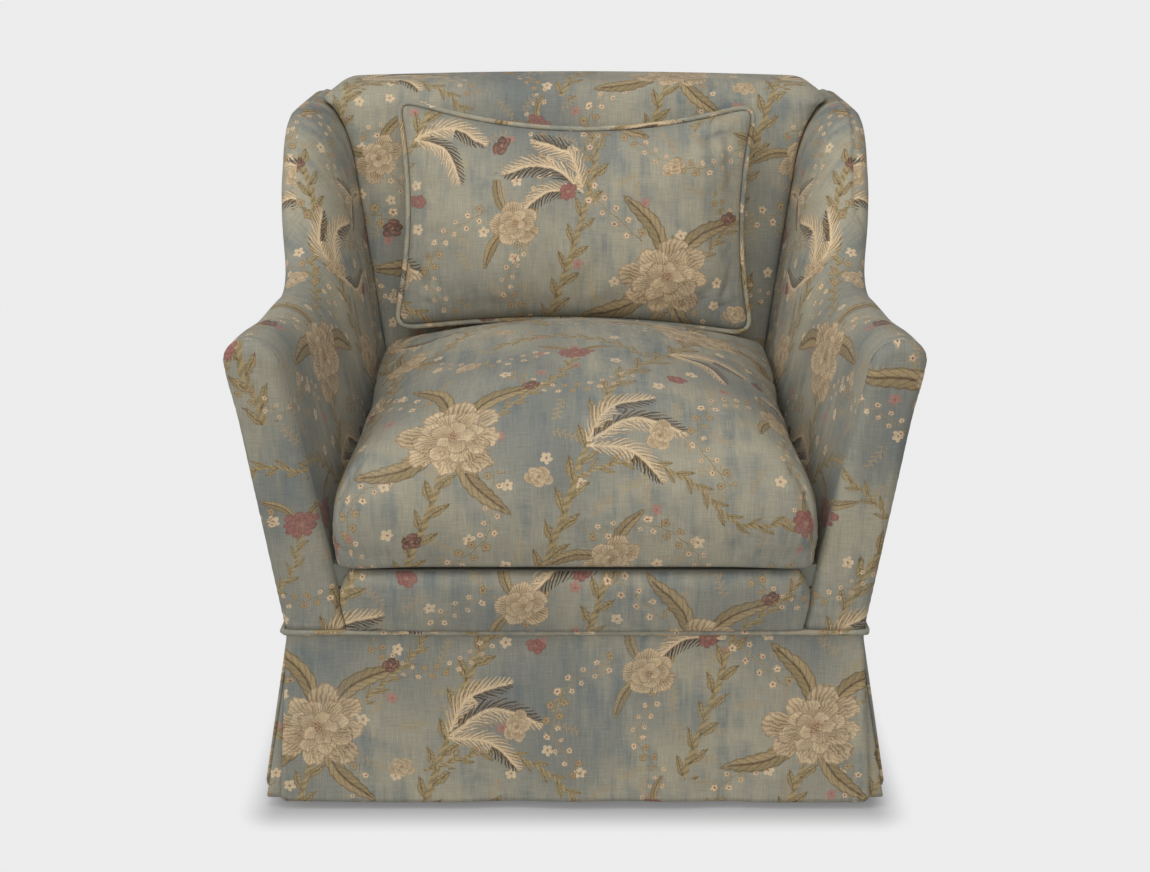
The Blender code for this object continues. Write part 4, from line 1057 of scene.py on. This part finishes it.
# Fans: their root, then the angle, length, bend, half width and tone of each frond.
# A frond of tone 1 or more is a plain broad leaf.
FANS = [
    ((0.315, 0.200), [
        (8, 0.125, 0.030, 0.025, 0.8), (42, 0.115, 0.022, 0.023, 0.3),
        (-26, 0.105, 0.018, 0.021, 0.2),
    ]),
    ((0.672, 0.335), [
        (168, 0.120, -0.028, 0.024, 0.7), (134, 0.110, -0.024, 0.023, 0.2),
        (200, 0.100, -0.018, 0.020, 0.9),
    ]),
    ((0.668, 0.610), [
        (24, 0.120, 0.028, 0.025, 0.2), (-14, 0.120, -0.026, 0.023, 0.8),
        (62, 0.100, 0.020, 0.021, 0.3),
    ]),
    ((0.245, -0.020), [
        (158, 0.110, 0.022, 0.023, 0.3), (198, 0.110, -0.024, 0.023, 0.8),
    ]),
    ((0.425, 0.415), [
        (-6, 0.110, 0.022, 0.023, 0.2), (-44, 0.100, 0.020, 0.021, 0.7),
    ]),
    ((0.150, 0.215), [
        (38, 0.135, 0.018, 0.020, 1.1), (118, 0.130, -0.018, 0.020, 1.3),
        (205, 0.135, 0.016, 0.021, 1.2), (305, 0.125, -0.016, 0.019, 1.4),
    ]),
    ((0.470, 0.545), [
        (72, 0.145, 0.018, 0.022, 1.2), (165, 0.145, -0.020, 0.022, 1.1),
        (348, 0.150, 0.020, 0.022, 1.3),
    ]),
    ((0.345, 0.050), [
        (60, 0.080, 0.010, 0.013, 1.2), (185, 0.082, -0.012, 0.013, 1.1),
    ]),
    ((0.060, 0.475), [
        (95, 0.090, 0.012, 0.014, 1.3), (320, 0.090, -0.012, 0.014, 1.2),
    ]),
    ((0.575, 0.290), [
        (110, 0.078, 0.010, 0.012, 1.1), (235, 0.078, -0.010, 0.012, 1.3),
    ]),
    ((0.300, 0.395), [
        (30, 0.060, 0.008, 0.009, 1.2), (150, 0.058, -0.008, 0.009, 1.1),
    ]),
    ((0.585, 0.100), [
        (80, 0.050, 0.007, 0.008, 1.3), (330, 0.052, -0.007, 0.008, 1.1),
    ]),
]

# Strips: kind, half width, pitch (0 for one motif over the whole strip), tone, points of the line
STRIPS = [(kind, half_width, pitch, 0.0, points) for kind, half_width, pitch, points in STEMS]
for root, spokes in FANS:
    STRIPS += fanned(root, spokes)

LAYERS = ("vine", "spray", "frond", "bloom")
BLANK = (9.0, 9.0, 0.0)  # clear of every motif
SPRIG_DENSITY = 21.0


def flowing(points, spacing=0.006):
    """A fair line through points."""
    p = np.array(points, float)
    p = np.concatenate([[2 * p[0] - p[1]], p, [2 * p[-1] - p[-2]]])
    made = []
    for a, b, c, d in zip(p, p[1:], p[2:], p[3:]):
        steps = max(int(np.linalg.norm(c - b) / spacing), 2)
        for t in np.arange(steps) / steps:
            bend, twist = 2 * a - 5 * b + 4 * c - d, 3 * b - a - 3 * c + d
            made.append(0.5 * (2 * b + (c - a) * t + bend * t * t + twist * t**3))
    made.append(p[-2])
    return np.array(made)


def along_strip(line, spots):
    """Distance along a line, and signed distance from it, of the places nearest to spots."""
    a, b = line[:-1], line[1:]
    step = b - a
    size = np.linalg.norm(step, axis=1)
    start = np.concatenate([[0.0], np.cumsum(size)[:-1]])
    rel = spots[:, None] - a[None]
    share = (rel * step).sum(-1) / size**2
    low, high = np.zeros(len(a)), np.ones(len(a))
    low[0], high[-1] = -9, 9
    share = np.clip(share, low, high)
    off = rel - share[..., None] * step
    apart = np.linalg.norm(off, axis=-1)
    best = apart.argmin(1)
    pick = np.arange(len(spots))
    sign = np.sign(step[best, 0] * rel[pick, best, 1] - step[best, 1] * rel[pick, best, 0])
    sign[sign == 0] = 1
    return start[best] + share[pick, best] * size[best], sign * apart[pick, best]


def imprint(mesh, shift=(0.0, 0.0)):
    """Gives each face corner its place within the motifs that cover its face, one attribute per layer."""
    count, faces = len(mesh.loops), len(mesh.polygons)
    uv = np.zeros(count * 2, np.float32)
    mesh.uv_layers["cloth"].data.foreach_get("uv", uv)
    uv = uv.reshape(-1, 2).astype(float) + np.array(shift)
    sides = np.zeros(faces, np.int32)
    mesh.polygons.foreach_get("loop_total", sides)
    owner = np.repeat(np.arange(faces), sides)
    centre = np.stack([np.bincount(owner, uv[:, k], faces) / sides for k in (0, 1)], axis=1)
    reach = np.zeros(faces)
    np.maximum.at(reach, owner, np.linalg.norm(uv - centre[owner], axis=1))
    low, high = centre.min(0), centre.max(0)
    values = {name: np.tile(np.array(BLANK), (count, 1)) for name in LAYERS}
    best = {name: np.full(faces, 1e9) for name in LAYERS}

    def copies(box_low, box_high):
        first = np.floor((low - box_high) / REPEAT).astype(int)
        last = np.ceil((high - box_low) / REPEAT).astype(int)
        for i in range(first[0], last[0] + 1):
            for j in range(first[1], last[1] + 1):
                yield np.array([i, j]) * REPEAT

    for u, v, radius, petals, tint, squash, turned in BLOOMS:
        spot = np.array([u, v])
        cos, sin = math.cos(math.radians(turned)), math.sin(math.radians(turned))
        for offset in copies(spot - radius, spot + radius):
            apart = np.linalg.norm(centre - spot - offset, axis=1)
            hit = (apart < radius * 1.12 + reach) & (apart / radius < best["bloom"])
            if not hit.any():
                continue
            best["bloom"][hit] = (apart / radius)[hit]
            loops = np.nonzero(hit[owner])[0]
            x, y = ((uv[loops] - spot - offset) / radius).T
            x, y = cos * x + sin * y, (cos * y - sin * x) / squash
            values["bloom"][loops] = np.column_stack([x, y, np.full(len(loops), petals + tint)])

    for kind, half_width, pitch, tone, points in STRIPS:
        line = flowing(points)
        length = lengths(line)[-1]
        for offset in copies(line.min(0) - half_width, line.max(0) + half_width):
            moved = line + offset
            room = half_width * 1.5
            near = (centre > moved.min(0) - room) & (centre < moved.max(0) + room)
            near = np.nonzero(near.all(1))[0]
            if not len(near):
                continue
            s, t = along_strip(moved, centre[near])
            closeness, margin = np.abs(t) / half_width, reach[near]
            inside = (np.abs(t) < half_width * 1.02 + margin) & (closeness < best[kind][near])
            inside &= (s > -0.01 - margin) & (s < length + 0.01 + margin)
            chosen = near[inside]
            if not len(chosen):
                continue
            best[kind][chosen] = closeness[inside]
            mark = np.zeros(faces, bool)
            mark[chosen] = True
            loops = np.nonzero(mark[owner])[0]
            s, t = along_strip(moved, uv[loops])
            place = (s / (pitch or length), t / half_width, np.full(len(s), tone))
            values[kind][loops] = np.column_stack(place)

    for name in LAYERS:
        attribute = mesh.attributes.new(name, "FLOAT_VECTOR", "CORNER")
        attribute.data.foreach_set("vector", values[name].astype(np.float32).ravel())


class Wire:
    """A number on its way through a shader. Arithmetic on it adds Math nodes to the tree."""

    tree = None

    def __init__(self, socket):
        self.socket = socket

    def math(self, operation, *others, clamp=False):
        node = Wire.tree.nodes.new("ShaderNodeMath")
        node.operation = operation
        node.use_clamp = clamp
        for place, value in zip(node.inputs, (self, *others)):
            if isinstance(value, Wire):
                Wire.tree.links.new(value.socket, place)
            else:
                place.default_value = value
        return Wire(node.outputs[0])

    def __add__(self, other):
        return self.math("ADD", other)

    __radd__ = __add__

    def __mul__(self, other):
        return self.math("MULTIPLY", other)

    __rmul__ = __mul__

    def __sub__(self, other):
        return self.math("SUBTRACT", other)

    def __rsub__(self, other):
        return self.math("MULTIPLY_ADD", -1.0, other)

    def __truediv__(self, other):
        return self.math("DIVIDE", other)

    def __abs__(self):
        return self.math("ABSOLUTE")

    def __pow__(self, other):
        return self.math("POWER", other)

    def sin(self):
        return self.math("SINE")

    def fract(self):
        return self.math("FRACT")

    def floor(self):
        return self.math("FLOOR")

    def most(self, other):
        return self.math("MAXIMUM", other)

    def least(self, other):
        return self.math("MINIMUM", other)

    def over(self, other):
        return self.math("GREATER_THAN", other)

    def inside(self, softness=0.05):
        """1 where the number is above 0, 0 where it is below, with a soft step between."""
        return self.math("MULTIPLY_ADD", 1 / softness, 0.5, clamp=True)


def new_node(kind, **settings):
    node = Wire.tree.nodes.new(kind)
    for name, value in settings.items():
        setattr(node, name, value)
    return node


def feed(node, inputs):
    """Sets or links a node's inputs, by name or number. A value is a wire, a socket or plain numbers."""
    for name, value in inputs.items():
        if isinstance(value, Wire):
            value = value.socket
        if isinstance(value, bpy.types.NodeSocket):
            Wire.tree.links.new(value, node.inputs[name])
        else:
            node.inputs[name].default_value = value
    return node


def new_material(name):
    """A material with its shader. The nodes made next go into it."""
    material = bpy.data.materials.new(name)
    material.use_nodes = True
    Wire.tree = material.node_tree
    return material, Wire.tree.nodes["Principled BSDF"]


def split(vector):
    """The three numbers of a vector or a colour."""
    node = feed(new_node("ShaderNodeSeparateXYZ"), {0: vector})
    return [Wire(socket) for socket in node.outputs]


def vector_math(operation, first, second):
    node = feed(new_node("ShaderNodeVectorMath", operation=operation), {0: first, 1: second})
    return node.outputs[0]


def scaled(vector, factors):
    return vector_math("MULTIPLY", vector, factors)


def noise(vector, scale, detail=2.0, roughness=0.5, colour=False):
    node = new_node("ShaderNodeTexNoise", noise_dimensions="2D")
    feed(node, {"Vector": vector, "Scale": scale, "Detail": detail, "Roughness": roughness})
    return node.outputs["Color"] if colour else Wire(node.outputs["Fac"])


def bumped(shader, height, strength, distance):
    bump = new_node("ShaderNodeBump")
    feed(bump, {"Strength": strength, "Distance": distance, "Height": height})
    feed(shader, {"Normal": bump.outputs[0]})


def blended(factor, below, above):
    """Colour below, with colour above over it by factor. A colour is a socket or three numbers."""
    node = new_node("ShaderNodeMix", data_type="RGBA", clamp_factor=True)
    place = {s.identifier: s for s in node.inputs}
    if isinstance(factor, Wire):
        Wire.tree.links.new(factor.socket, place["Factor_Float"])
    else:
        place["Factor_Float"].default_value = factor
    for name, value in (("A_Color", below), ("B_Color", above)):
        if isinstance(value, tuple):
            place[name].default_value = (*value, 1.0)
        else:
            Wire.tree.links.new(value, place[name])
    return next(s for s in node.outputs if s.identifier == "Result_Color")


def linear(red, green, blue):
    """A colour written as on a screen, from 0 to 255, as the shader needs it."""
    return tuple(
        (c / 255 / 12.92) if c <= 10 else ((c / 255 + 0.055) / 1.055) ** 2.4 for c in (red, green, blue)
    )


BLUE = linear(110, 116, 114)
DEEP_BLUE = linear(94, 101, 102)
FADED = linear(152, 146, 127)
CREAM = linear(206, 182, 147)
TAN = linear(157, 135, 104)
LINE = linear(80, 62, 47)
OCHRE = linear(156, 137, 100)
OLIVE = linear(124, 110, 78)
DARK = linear(58, 47, 40)
CRIMSON = linear(134, 82, 80)
ROSE = linear(160, 116, 102)


def components(name):
    """The three numbers of one of the print's attributes."""
    return split(new_node("ShaderNodeAttribute", attribute_name=name).outputs["Vector"])


def draw_sprigs(place, colour, wander, fade):
    """Small leafy sprigs and florets strewn over the ground, one to a cell of a Voronoi pattern."""
    cells = new_node("ShaderNodeTexVoronoi", voronoi_dimensions="2D")
    feed(cells, {"Vector": place, "Scale": SPRIG_DENSITY, "Randomness": 0.85})
    away = split(vector_math("SUBTRACT", place, cells.outputs["Position"]))
    draw = split(cells.outputs["Color"])
    x, y = (away[k] * SPRIG_DENSITY + wander[k] * 0.12 for k in (0, 1))
    kind, turn = draw[0], draw[1] * (2 * math.pi)
    cos, sin = turn.math("COSINE"), turn.sin()
    a, b = x * cos + y * sin, y * cos - x * sin
    b = b + (a * 5.0).sin() * 0.03
    q = abs(b)
    ends = (0.36 - abs(a)).inside(0.04)
    stem = (0.016 - q).inside(0.02) * ends
    p = ((a * 6.5 + b.over(0.0) * 0.5).fract() - 0.5) * 0.154 + q * 0.45 - 0.03
    leaf = (0.034 - abs(p) - abs(q - 0.075) * 0.42).inside(0.012) * ends
    sprig = stem.most(leaf) * kind.over(0.60)
    r = (x * x + y * y).math("SQRT")
    lobe = abs((y.math("ARCTAN2", x) * 2.5 + turn).sin())
    floret = (0.10 + 0.07 * lobe - r).inside(0.02) * (0.34 - kind).over(0.0)
    heart = (0.035 - r).inside(0.02)
    colour = blended(sprig * fade * 0.8, colour, blended(kind.over(0.80), OCHRE, TAN))
    tint = blended((0.12 - kind).over(0.0), CREAM, ROSE)
    return blended(floret * fade * 0.85, colour, blended(heart * 0.8, tint, CRIMSON))


def draw_vine(colour, wander, fade):
    s, t, _ = components("vine")
    t = t + wander[0] * 0.35
    s = s + wander[1] * 0.18
    q = abs(t)
    stem_hatch = ((s * 20.0 + t * 16.0).sin()).inside(1.2)
    stem = (0.17 - q).inside(0.05)
    p = (s + t.over(0.0) * 0.5).fract()
    # a leaf runs from the stem outwards, on each side in turn
    along = p * 0.62 + q * 0.70 - 0.10
    across_leaf = abs(q * 0.86 - p * 0.92 + 0.10)
    width = (along * 3.4).sin() * 0.21
    leaf = (width - across_leaf).inside(0.06) * (along.inside(0.05)) * (0.95 - along).inside(0.05)
    rib = (0.025 - across_leaf).inside(0.04) * leaf
    veins = ((along * 42.0 + across_leaf * 30.0).sin()).inside(1.5)
    ink = stem.most(leaf) * fade
    flesh = blended(veins * 0.7, OCHRE, OLIVE)
    flesh = blended(stem, flesh, blended(stem_hatch * 0.8, OCHRE, OLIVE))
    flesh = blended(rib * 0.8, flesh, LINE)
    outline = (leaf - (width - across_leaf - 0.055).inside(0.06)).most(0.0)
    flesh = blended(outline * 0.45, flesh, LINE)
    return blended(ink, colour, flesh)


def draw_spray(colour, wander, fade):
    s, t, _ = components("spray")
    t = t + wander[1] * 0.40
    s = s + wander[0] * 0.35
    q = abs(t)
    twig = (0.045 - abs(t + (s * 6.3).sin() * 0.05)).inside(0.05)
    shifted = s + t.over(0.0) * 0.5
    p = (shifted.fract() - 0.5) * 1.30
    row = shifted.floor()
    jump = ((row * 5.17).sin() * 0.5 + 0.5)
    size = 0.26 + jump * 0.13
    dy = q - 0.52
    r = (p * p + dy * dy).math("SQRT")
    angle = dy.math("ARCTAN2", p)
    lobe = abs((angle * 2.5 + row).sin())
    edge = size * (0.62 + 0.38 * (lobe ** 0.6))
    petal = (edge - r).inside(0.05)
    heart = (0.085 - r).inside(0.05)
    rim = (petal - (edge - 0.07 - r).inside(0.06)).most(0.0)
    stalk = (0.04 - abs(p - dy * 0.3)).inside(0.05) * (0.5 - q).inside(0.05)
    ink = twig.most(petal).most(stalk * 0.8) * fade
    flesh = blended(jump.over(0.62), CREAM, OCHRE)
    flesh = blended(twig.most(stalk) * (1 - petal), flesh, OLIVE)
    flesh = blended(rim * 0.55, flesh, LINE)
    cleft = lobe.math("MULTIPLY_ADD", -4.0, 1.0, clamp=True)
    flesh = blended(cleft * 0.45 * petal, flesh, LINE)
    flesh = blended(heart, flesh, CRIMSON)
    return blended(ink, colour, flesh)


def draw_frond(colour, wander, fade):
    """A feather with cut barbs, half of it dark, or a broad leaf with veins."""
    s, t, code = components("frond")
    t = t + wander[0] * 0.16
    s = s + wander[1] * 0.05
    q = abs(t)
    plain = code.over(1.0)
    tone = code.fract()
    body = ((s.most(0.0) ** 0.55) * ((1.02 - s).most(0.0) ** 0.45)) * 1.42
    blade = ((s.most(0.0) ** 1.1) * ((1.02 - s).most(0.0) ** 0.9)) * 2.3 + (s * 55.0).sin() * 0.035
    room = between(body, blade, plain) - q
    barbs = (s * 15.0 - q * 4.2 + wander[0] * 1.2).fract()
    middle = abs(barbs - 0.5)
    # a barb narrows towards its tip
    slim = (0.50 - (q / body.most(0.05)) * 0.34) - middle
    cut = slim.inside(0.10).most(plain)
    leaf = room.inside(0.06) * cut * s.inside(0.02) * (1 - s).inside(0.02)
    hatch = ((s * 150.0 - q * 40.0 + wander[0] * 9.0).sin()).inside(1.4)
    spine = (0.075 - q).inside(0.05) * (0.93 - s).inside(0.03)
    shade_side = t.over(0.0)
    dark_part = (tone - 0.5).over(0.0) * shade_side
    dark_part = dark_part + (0.5 - tone).over(0.0) * (1 - shade_side) * (s - 0.55).over(0.0)
    dark_part = dark_part * (1 - plain) * (q - 0.10).inside(0.1)
    ribs = abs((s * 11.0 - q * 2.6).fract() - 0.5)
    rib = (0.09 - ribs).inside(0.06) * plain
    flesh = blended(hatch * 0.75, CREAM, TAN)
    flesh = blended(plain, flesh, blended(t.inside(0.5) * 0.8, OCHRE, OLIVE))
    flesh = blended(plain * hatch * 0.35, flesh, TAN)
    flesh = blended(dark_part * (0.78 + 0.22 * hatch), flesh, DARK)
    edge = (slim.inside(0.10) - (slim - 0.10).inside(0.12)).most(0.0) * (1 - plain)
    border = (0.10 - room).inside(0.06) * plain
    flesh = blended(edge.most(border) * 0.5, flesh, LINE)
    flesh = blended(rib * 0.45, flesh, LINE)
    flesh = blended(spine * 0.75, flesh, blended(plain, CREAM, LINE))
    return blended(leaf.most(spine * s.inside(0.02)) * fade, colour, flesh)


def draw_bloom(colour, wander, fade):
    """A many-petalled flower in three rings, hatched from its heart outwards."""
    x, y, code = components("bloom")
    petals, tint = code.floor(), code.fract()
    x = x + wander[0] * 0.22
    y = y + wander[1] * 0.22
    r = (x * x + y * y).math("SQRT")
    angle = y.math("ARCTAN2", x)
    crimson = (tint - 0.3).over(0.0) * (0.6 - tint).over(0.0)
    dark = (tint - 0.6).over(0.0)
    base = blended(crimson, CREAM, CRIMSON)
    base = blended(dark, base, DARK)
    low = blended(crimson.most(dark), TAN, ROSE)
    hatch = ((angle * 52.0 + r * 8.0 + wander[0] * 8.0).sin() - 0.25).inside(0.9)
    flesh, cover = colour, None
    rings = ((0.62, 0.27, 0.0, 1.0), (0.42, 0.22, 1.45, 1.0), (0.22, 0.17, 0.6, 0.5))
    for reach, swing, phase, share in rings:
        # the angle is counted in half turns of a sine, so that each petal has a number
        turn = (angle + math.pi) * (petals * 0.5 * share + (1 - share)) + phase
        number = (turn * (1 / math.pi)).floor()
        uneven = (number * 2.4 + tint * 40.0 + phase * 3.0).sin()
        lobe = abs(turn.sin())
        edge = reach + swing * (lobe ** 0.55) + uneven * (reach * 0.15)
        petal = (edge - r).inside(0.035)
        lean = (turn * (1 / math.pi)).fract()
        depth = (edge - r) * (1 / 0.30)
        tone = (depth.least(1.0) * 0.55 + lean * 0.35 + uneven * 0.12).most(0.0).least(1.0)
        body = blended(tone, base, low)
        body = blended(hatch * (0.20 + 0.45 * tone), body, LINE)
        fold = lobe.math("MULTIPLY_ADD", -6.0, 1.0, clamp=True)
        rim = (petal - (edge - 0.035 - r).inside(0.04)).most(0.0)
        body = blended((fold * 0.7).most(rim * 0.6), body, LINE)
        flesh = blended(petal, flesh, body)
        cover = petal if cover is None else cover.most(petal)
    heart = (0.11 - r).inside(0.03)
    dots = ((x * 70.0).sin() * (y * 70.0).sin()).over(0.15)
    flesh = blended(heart, flesh, blended(dots, OCHRE, CRIMSON))
    return blended(cover * fade, colour, flesh)


def printed_linen():
    """Faded printed linen: mottled ground, the botanical repeat, and the weave over both."""
    material, shader = new_material("printed_linen_finish")
    place = new_node("ShaderNodeUVMap", uv_map="cloth").outputs[0]

    cloud = noise(place, 8.0, 4.0, 0.6)
    streak = noise(scaled(place, (60.0, 7.0, 1.0)), 1.0, 3.0, 0.6)
    mottle = (cloud * 0.70 + streak * 0.42 - 0.475).inside(0.26)
    colour = blended(mottle, BLUE, FADED)
    blot = noise(place, 30.0, 3.0, 0.6)
    colour = blended((blot - 0.55).inside(0.12) * 0.35, colour, FADED)
    deep = noise(scaled(place, (1.0, 0.8, 1.0)), 4.0, 2.0)
    colour = blended((deep - 0.56).inside(0.25) * 0.6, colour, DEEP_BLUE)

    # How far the print's edges stray, and how much of it is left
    wander = [rough - 0.5 for rough in split(noise(place, 60.0, 3.0, 0.65, colour=True))[:2]]
    wear = (noise(place, 26.0, 4.0, 0.7) - 0.36).inside(0.24)
    thin = (noise(place, 9.0, 2.0, 0.5) - 0.40).inside(0.2)
    fine = (noise(place, 170.0, 3.0, 0.7) - 0.38).inside(0.2)
    fade = wear * 0.20 + thin * 0.16 + fine * 0.20 + 0.44
    colour = draw_sprigs(place, colour, wander, fade)
    for draw in (draw_vine, draw_spray, draw_frond, draw_bloom):
        colour = draw(colour, wander, fade)

    warp = noise(scaled(place, (760.0, 34.0, 1.0)), 1.0, 2.0, 0.6)
    weft = noise(scaled(place, (40.0, 700.0, 1.0)), 1.0, 2.0, 0.6)
    weave = warp * 0.55 + weft * 0.45
    bright = new_node("ShaderNodeVectorMath", operation="SCALE")
    feed(bright, {0: colour, "Scale": (weave - 0.5) * 0.85 + 1.0})
    feed(shader, {
        "Base Color": bright.outputs[0],
        "Roughness": 0.92,
        "Specular IOR Level": 0.25,
        "Sheen Weight": 0.06,
    })
    bumped(shader, weave, 0.35, 0.0006)
    return material


def streaked(name, dark, light, scales, roughness, spread, metallic):
    """A finish with drawn-out streaks: wood grain, brushed metal or coarse threads, by its scales."""
    material, shader = new_material(name)
    place = new_node("ShaderNodeTexCoord").outputs["Object"]
    grain = new_node("ShaderNodeTexNoise")
    feed(grain, {"Vector": scaled(place, scales), "Scale": 1.0, "Detail": 4.0, "Roughness": 0.6})
    patch = feed(new_node("ShaderNodeTexNoise"), {"Vector": place, "Scale": 9.0})
    grain, patch = Wire(grain.outputs["Fac"]), Wire(patch.outputs["Fac"])
    mixed = (grain * 0.8 + patch * 0.4 - 0.6).inside(0.45)
    feed(shader, {
        "Base Color": blended(mixed, linear(*dark), linear(*light)),
        "Roughness": mixed * spread + roughness,
        "Metallic": metallic,
    })
    bumped(shader, grain, 0.4, 0.0002)
    return material


# Finishes: dark and light colour, scales of the streaks, roughness, its spread, and metallic
FINISHES = {
    "beech_finish": ((164, 122, 80), (204, 166, 118), (9.0, 9.0, 90.0), 0.42, 0.25, 0.0),
    "steel_finish": ((120, 120, 122), (176, 176, 178), (300.0, 300.0, 20.0), 0.28, 0.2, 1.0),
    "lining_finish": ((52, 52, 52), (80, 79, 76), (700.0, 500.0, 500.0), 0.85, 0.1, 0.0),
    "deck_cloth": ((92, 98, 94), (136, 134, 118), (900.0, 900.0, 900.0), 0.85, 0.1, 0.0),
    "webbing_finish": ((120, 102, 70), (168, 150, 112), (600.0, 600.0, 90.0), 0.85, 0.1, 0.0),
}

# Finish of each CAD node that stays, by the start of its name
WORN_BY = {
    "dust_cover": "lining_finish",
    "seat_platform": "deck_cloth",
    "seat_spring": "steel_finish",
    "foot_glide": "steel_finish",
    "back_strap": "webbing_finish",
    "": "beech_finish",
}

# Starts of the names of the CAD nodes that a cover stands for
DRESSED = (
    "arm_top_pad", "inside_arm", "outside_arm", "front_arm_panel", "inside_back", "outside_back",
    "front_border", "seat_cushion", "lumbar_pillow", "pillow_piping", "skirt", "pleat",
)


def floor_finish():
    """A white floor: what the camera sees of it glows evenly, except close to the chair, where the glow fades
    into a painted shadow by distance from the chair's footprint and the lit grey floor shows, with the
    chair's real shadow on it.
    """
    material, shader = new_material("floor_finish")
    grey = (0.50, 0.50, 0.50, 1.0)
    feed(shader, {"Base Color": grey, "Roughness": 0.9, "Specular IOR Level": 0.0})
    # Painted shadow: the glow fades out by distance from the chair's footprint alone, so the floor is darker
    # round the chair under any lamp, on top of its real shadow
    x, y, _ = split(new_node("ShaderNodeNewGeometry").outputs["Position"])
    near, far = FRAME_FRONT - END_HEM, TIMBER_REAR + REAR_HEM
    half = BODY_HALF_WIDTH + FRONT_HEM_SPREAD
    off_x = (abs(x) - half).most(0.0)
    off_y = (abs(y - (near + far) / 2) - (far - near) / 2).most(0.0)
    away = (off_x * off_x + off_y * off_y).math("SQRT")
    rise = (away * (1 / PAINTED_SHADOW_REACH)).least(1.0)
    clear = rise * rise * (3.0 - 2.0 * rise) * (1 - PAINTED_SHADOW_GLOW) + PAINTED_SHADOW_GLOW
    glow = feed(new_node("ShaderNodeEmission"), {"Color": BACKDROP})
    seen = Wire(new_node("ShaderNodeLightPath").outputs["Is Camera Ray"])
    mix = feed(new_node("ShaderNodeMixShader"), {0: clear * seen, 1: shader.outputs[0], 2: glow.outputs[0]})
    feed(next(n for n in Wire.tree.nodes if n.type == "OUTPUT_MATERIAL"), {"Surface": mix.outputs[0]})
    return material


def soft_sun(name, strength, azimuth, height, size):
    """A broad lamp. azimuth is in degrees from straight ahead, positive to the right of the picture."""
    lamp = bpy.data.lights.new(name, "SUN")
    lamp.energy = strength
    lamp.angle = math.radians(size)
    around, up = math.radians(azimuth), math.radians(height)
    toward = (math.sin(around) * math.cos(up), -math.cos(around) * math.cos(up), math.sin(up))
    placed(name, lamp).rotation_euler = facing_from(toward)


def facing_from(direction):
    """The turn of a lamp whose light comes from this direction."""
    return Vector(direction).to_track_quat("Z", "Y").to_euler()


def studio():
    floor = bpy.data.meshes.new("floor")
    corners = [(-FLOOR, -FLOOR, 0), (FLOOR, -FLOOR, 0), (FLOOR, FLOOR, 0), (-FLOOR, FLOOR, 0)]
    floor.from_pydata(corners, [], [(0, 1, 2, 3)])
    floor.materials.append(floor_finish())
    floor = placed("floor", floor)
    world = bpy.data.worlds.new("studio")
    bpy.context.scene.world = world
    world.use_nodes = True
    background = world.node_tree.nodes["Background"]
    background.inputs[0].default_value = (1, 1, 1, 1)
    background.inputs[1].default_value = WORLD_LIGHT
    soft_sun("key", *KEY)
    soft_sun("fill", *FILL)
    power, place, aim, size = SOFTBOX
    lamp = bpy.data.lights.new("softbox", "AREA")
    lamp.energy = power
    lamp.color = SOFTBOX_COLOUR
    lamp.size = size
    holder = placed("softbox", lamp)
    holder.location = place
    holder.rotation_euler = facing_from(Vector(place) - Vector(aim))
    camera = bpy.data.cameras.new("camera")
    camera.sensor_width = SENSOR
    camera.lens = FOCAL_PIXELS / PHOTO_WIDTH * SENSOR
    eye = placed("camera", camera)
    eye.location = (0, FRONT - EYE_DISTANCE, EYE_HEIGHT)
    eye.rotation_euler = (math.radians(EYE_TILT), 0, 0)
    bpy.context.scene.camera = eye
    bpy.context.scene.view_settings.view_transform = "Standard"


FLOOR = 20
# Painted shadow round the chair's footprint: how far it reaches, and how much glow is left where it is
# darkest
PAINTED_SHADOW_REACH = 0.060
PAINTED_SHADOW_GLOW = 0.16
BACKDROP = (0.842, 0.842, 0.846, 1.0)

# Camera, fitted to the photograph
PHOTO_WIDTH = 1150
FOCAL_PIXELS = 1736
SENSOR = 36
EYE_DISTANCE = 1.983
EYE_HEIGHT = 1.2335
EYE_TILT = 70

# Lamps. KEY and FILL: strength, azimuth, height and size. SOFTBOX: power, place, aim and size
WORLD_LIGHT = 0.36
KEY = (1.25, -68, 30, 55)
FILL = (1.24, 10, 16, 50)
SOFTBOX = (7.4, (-0.25, -0.75, 1.85), (0.0, 0.05, 0.55), 0.9)
SOFTBOX_COLOUR = (0.96, 1.0, 1.04)

# Where each piece is cut from the cloth
SHIFTS = {
    "cushion": (0.30, 0.10),
    "pillow": (0.02, 0.30),
    "skirt_front_panel": (0.48, 0.10),
}


def main():
    cloth = printed_linen()
    pieces = []
    for sign in (LEFT, RIGHT):
        pieces += [side(sign), front_panel(sign)]
    pieces += [back_cover(), outside_back(), front_border(), seat_cushion(), *pillow(), *skirt(), welt()]
    folded = pleats()
    for obj in pieces + folded:
        obj.data.materials.clear()
        obj.data.materials.append(cloth)
        imprint(obj.data, SHIFTS.get(obj.name, (0.0, 0.0)))
        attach(obj, "root")
        "pleat_linen" if obj in folded else "printed_linen"
    looks = {name: streaked(name, *values) for name, values in FINISHES.items()}
    for name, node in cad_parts.items():
        if not name.startswith(DRESSED):
            node.data.materials.clear()
            worn = next(look for start, look in WORN_BY.items() if name.startswith(start))
            node.data.materials.append(looks[worn])
    studio()


main()
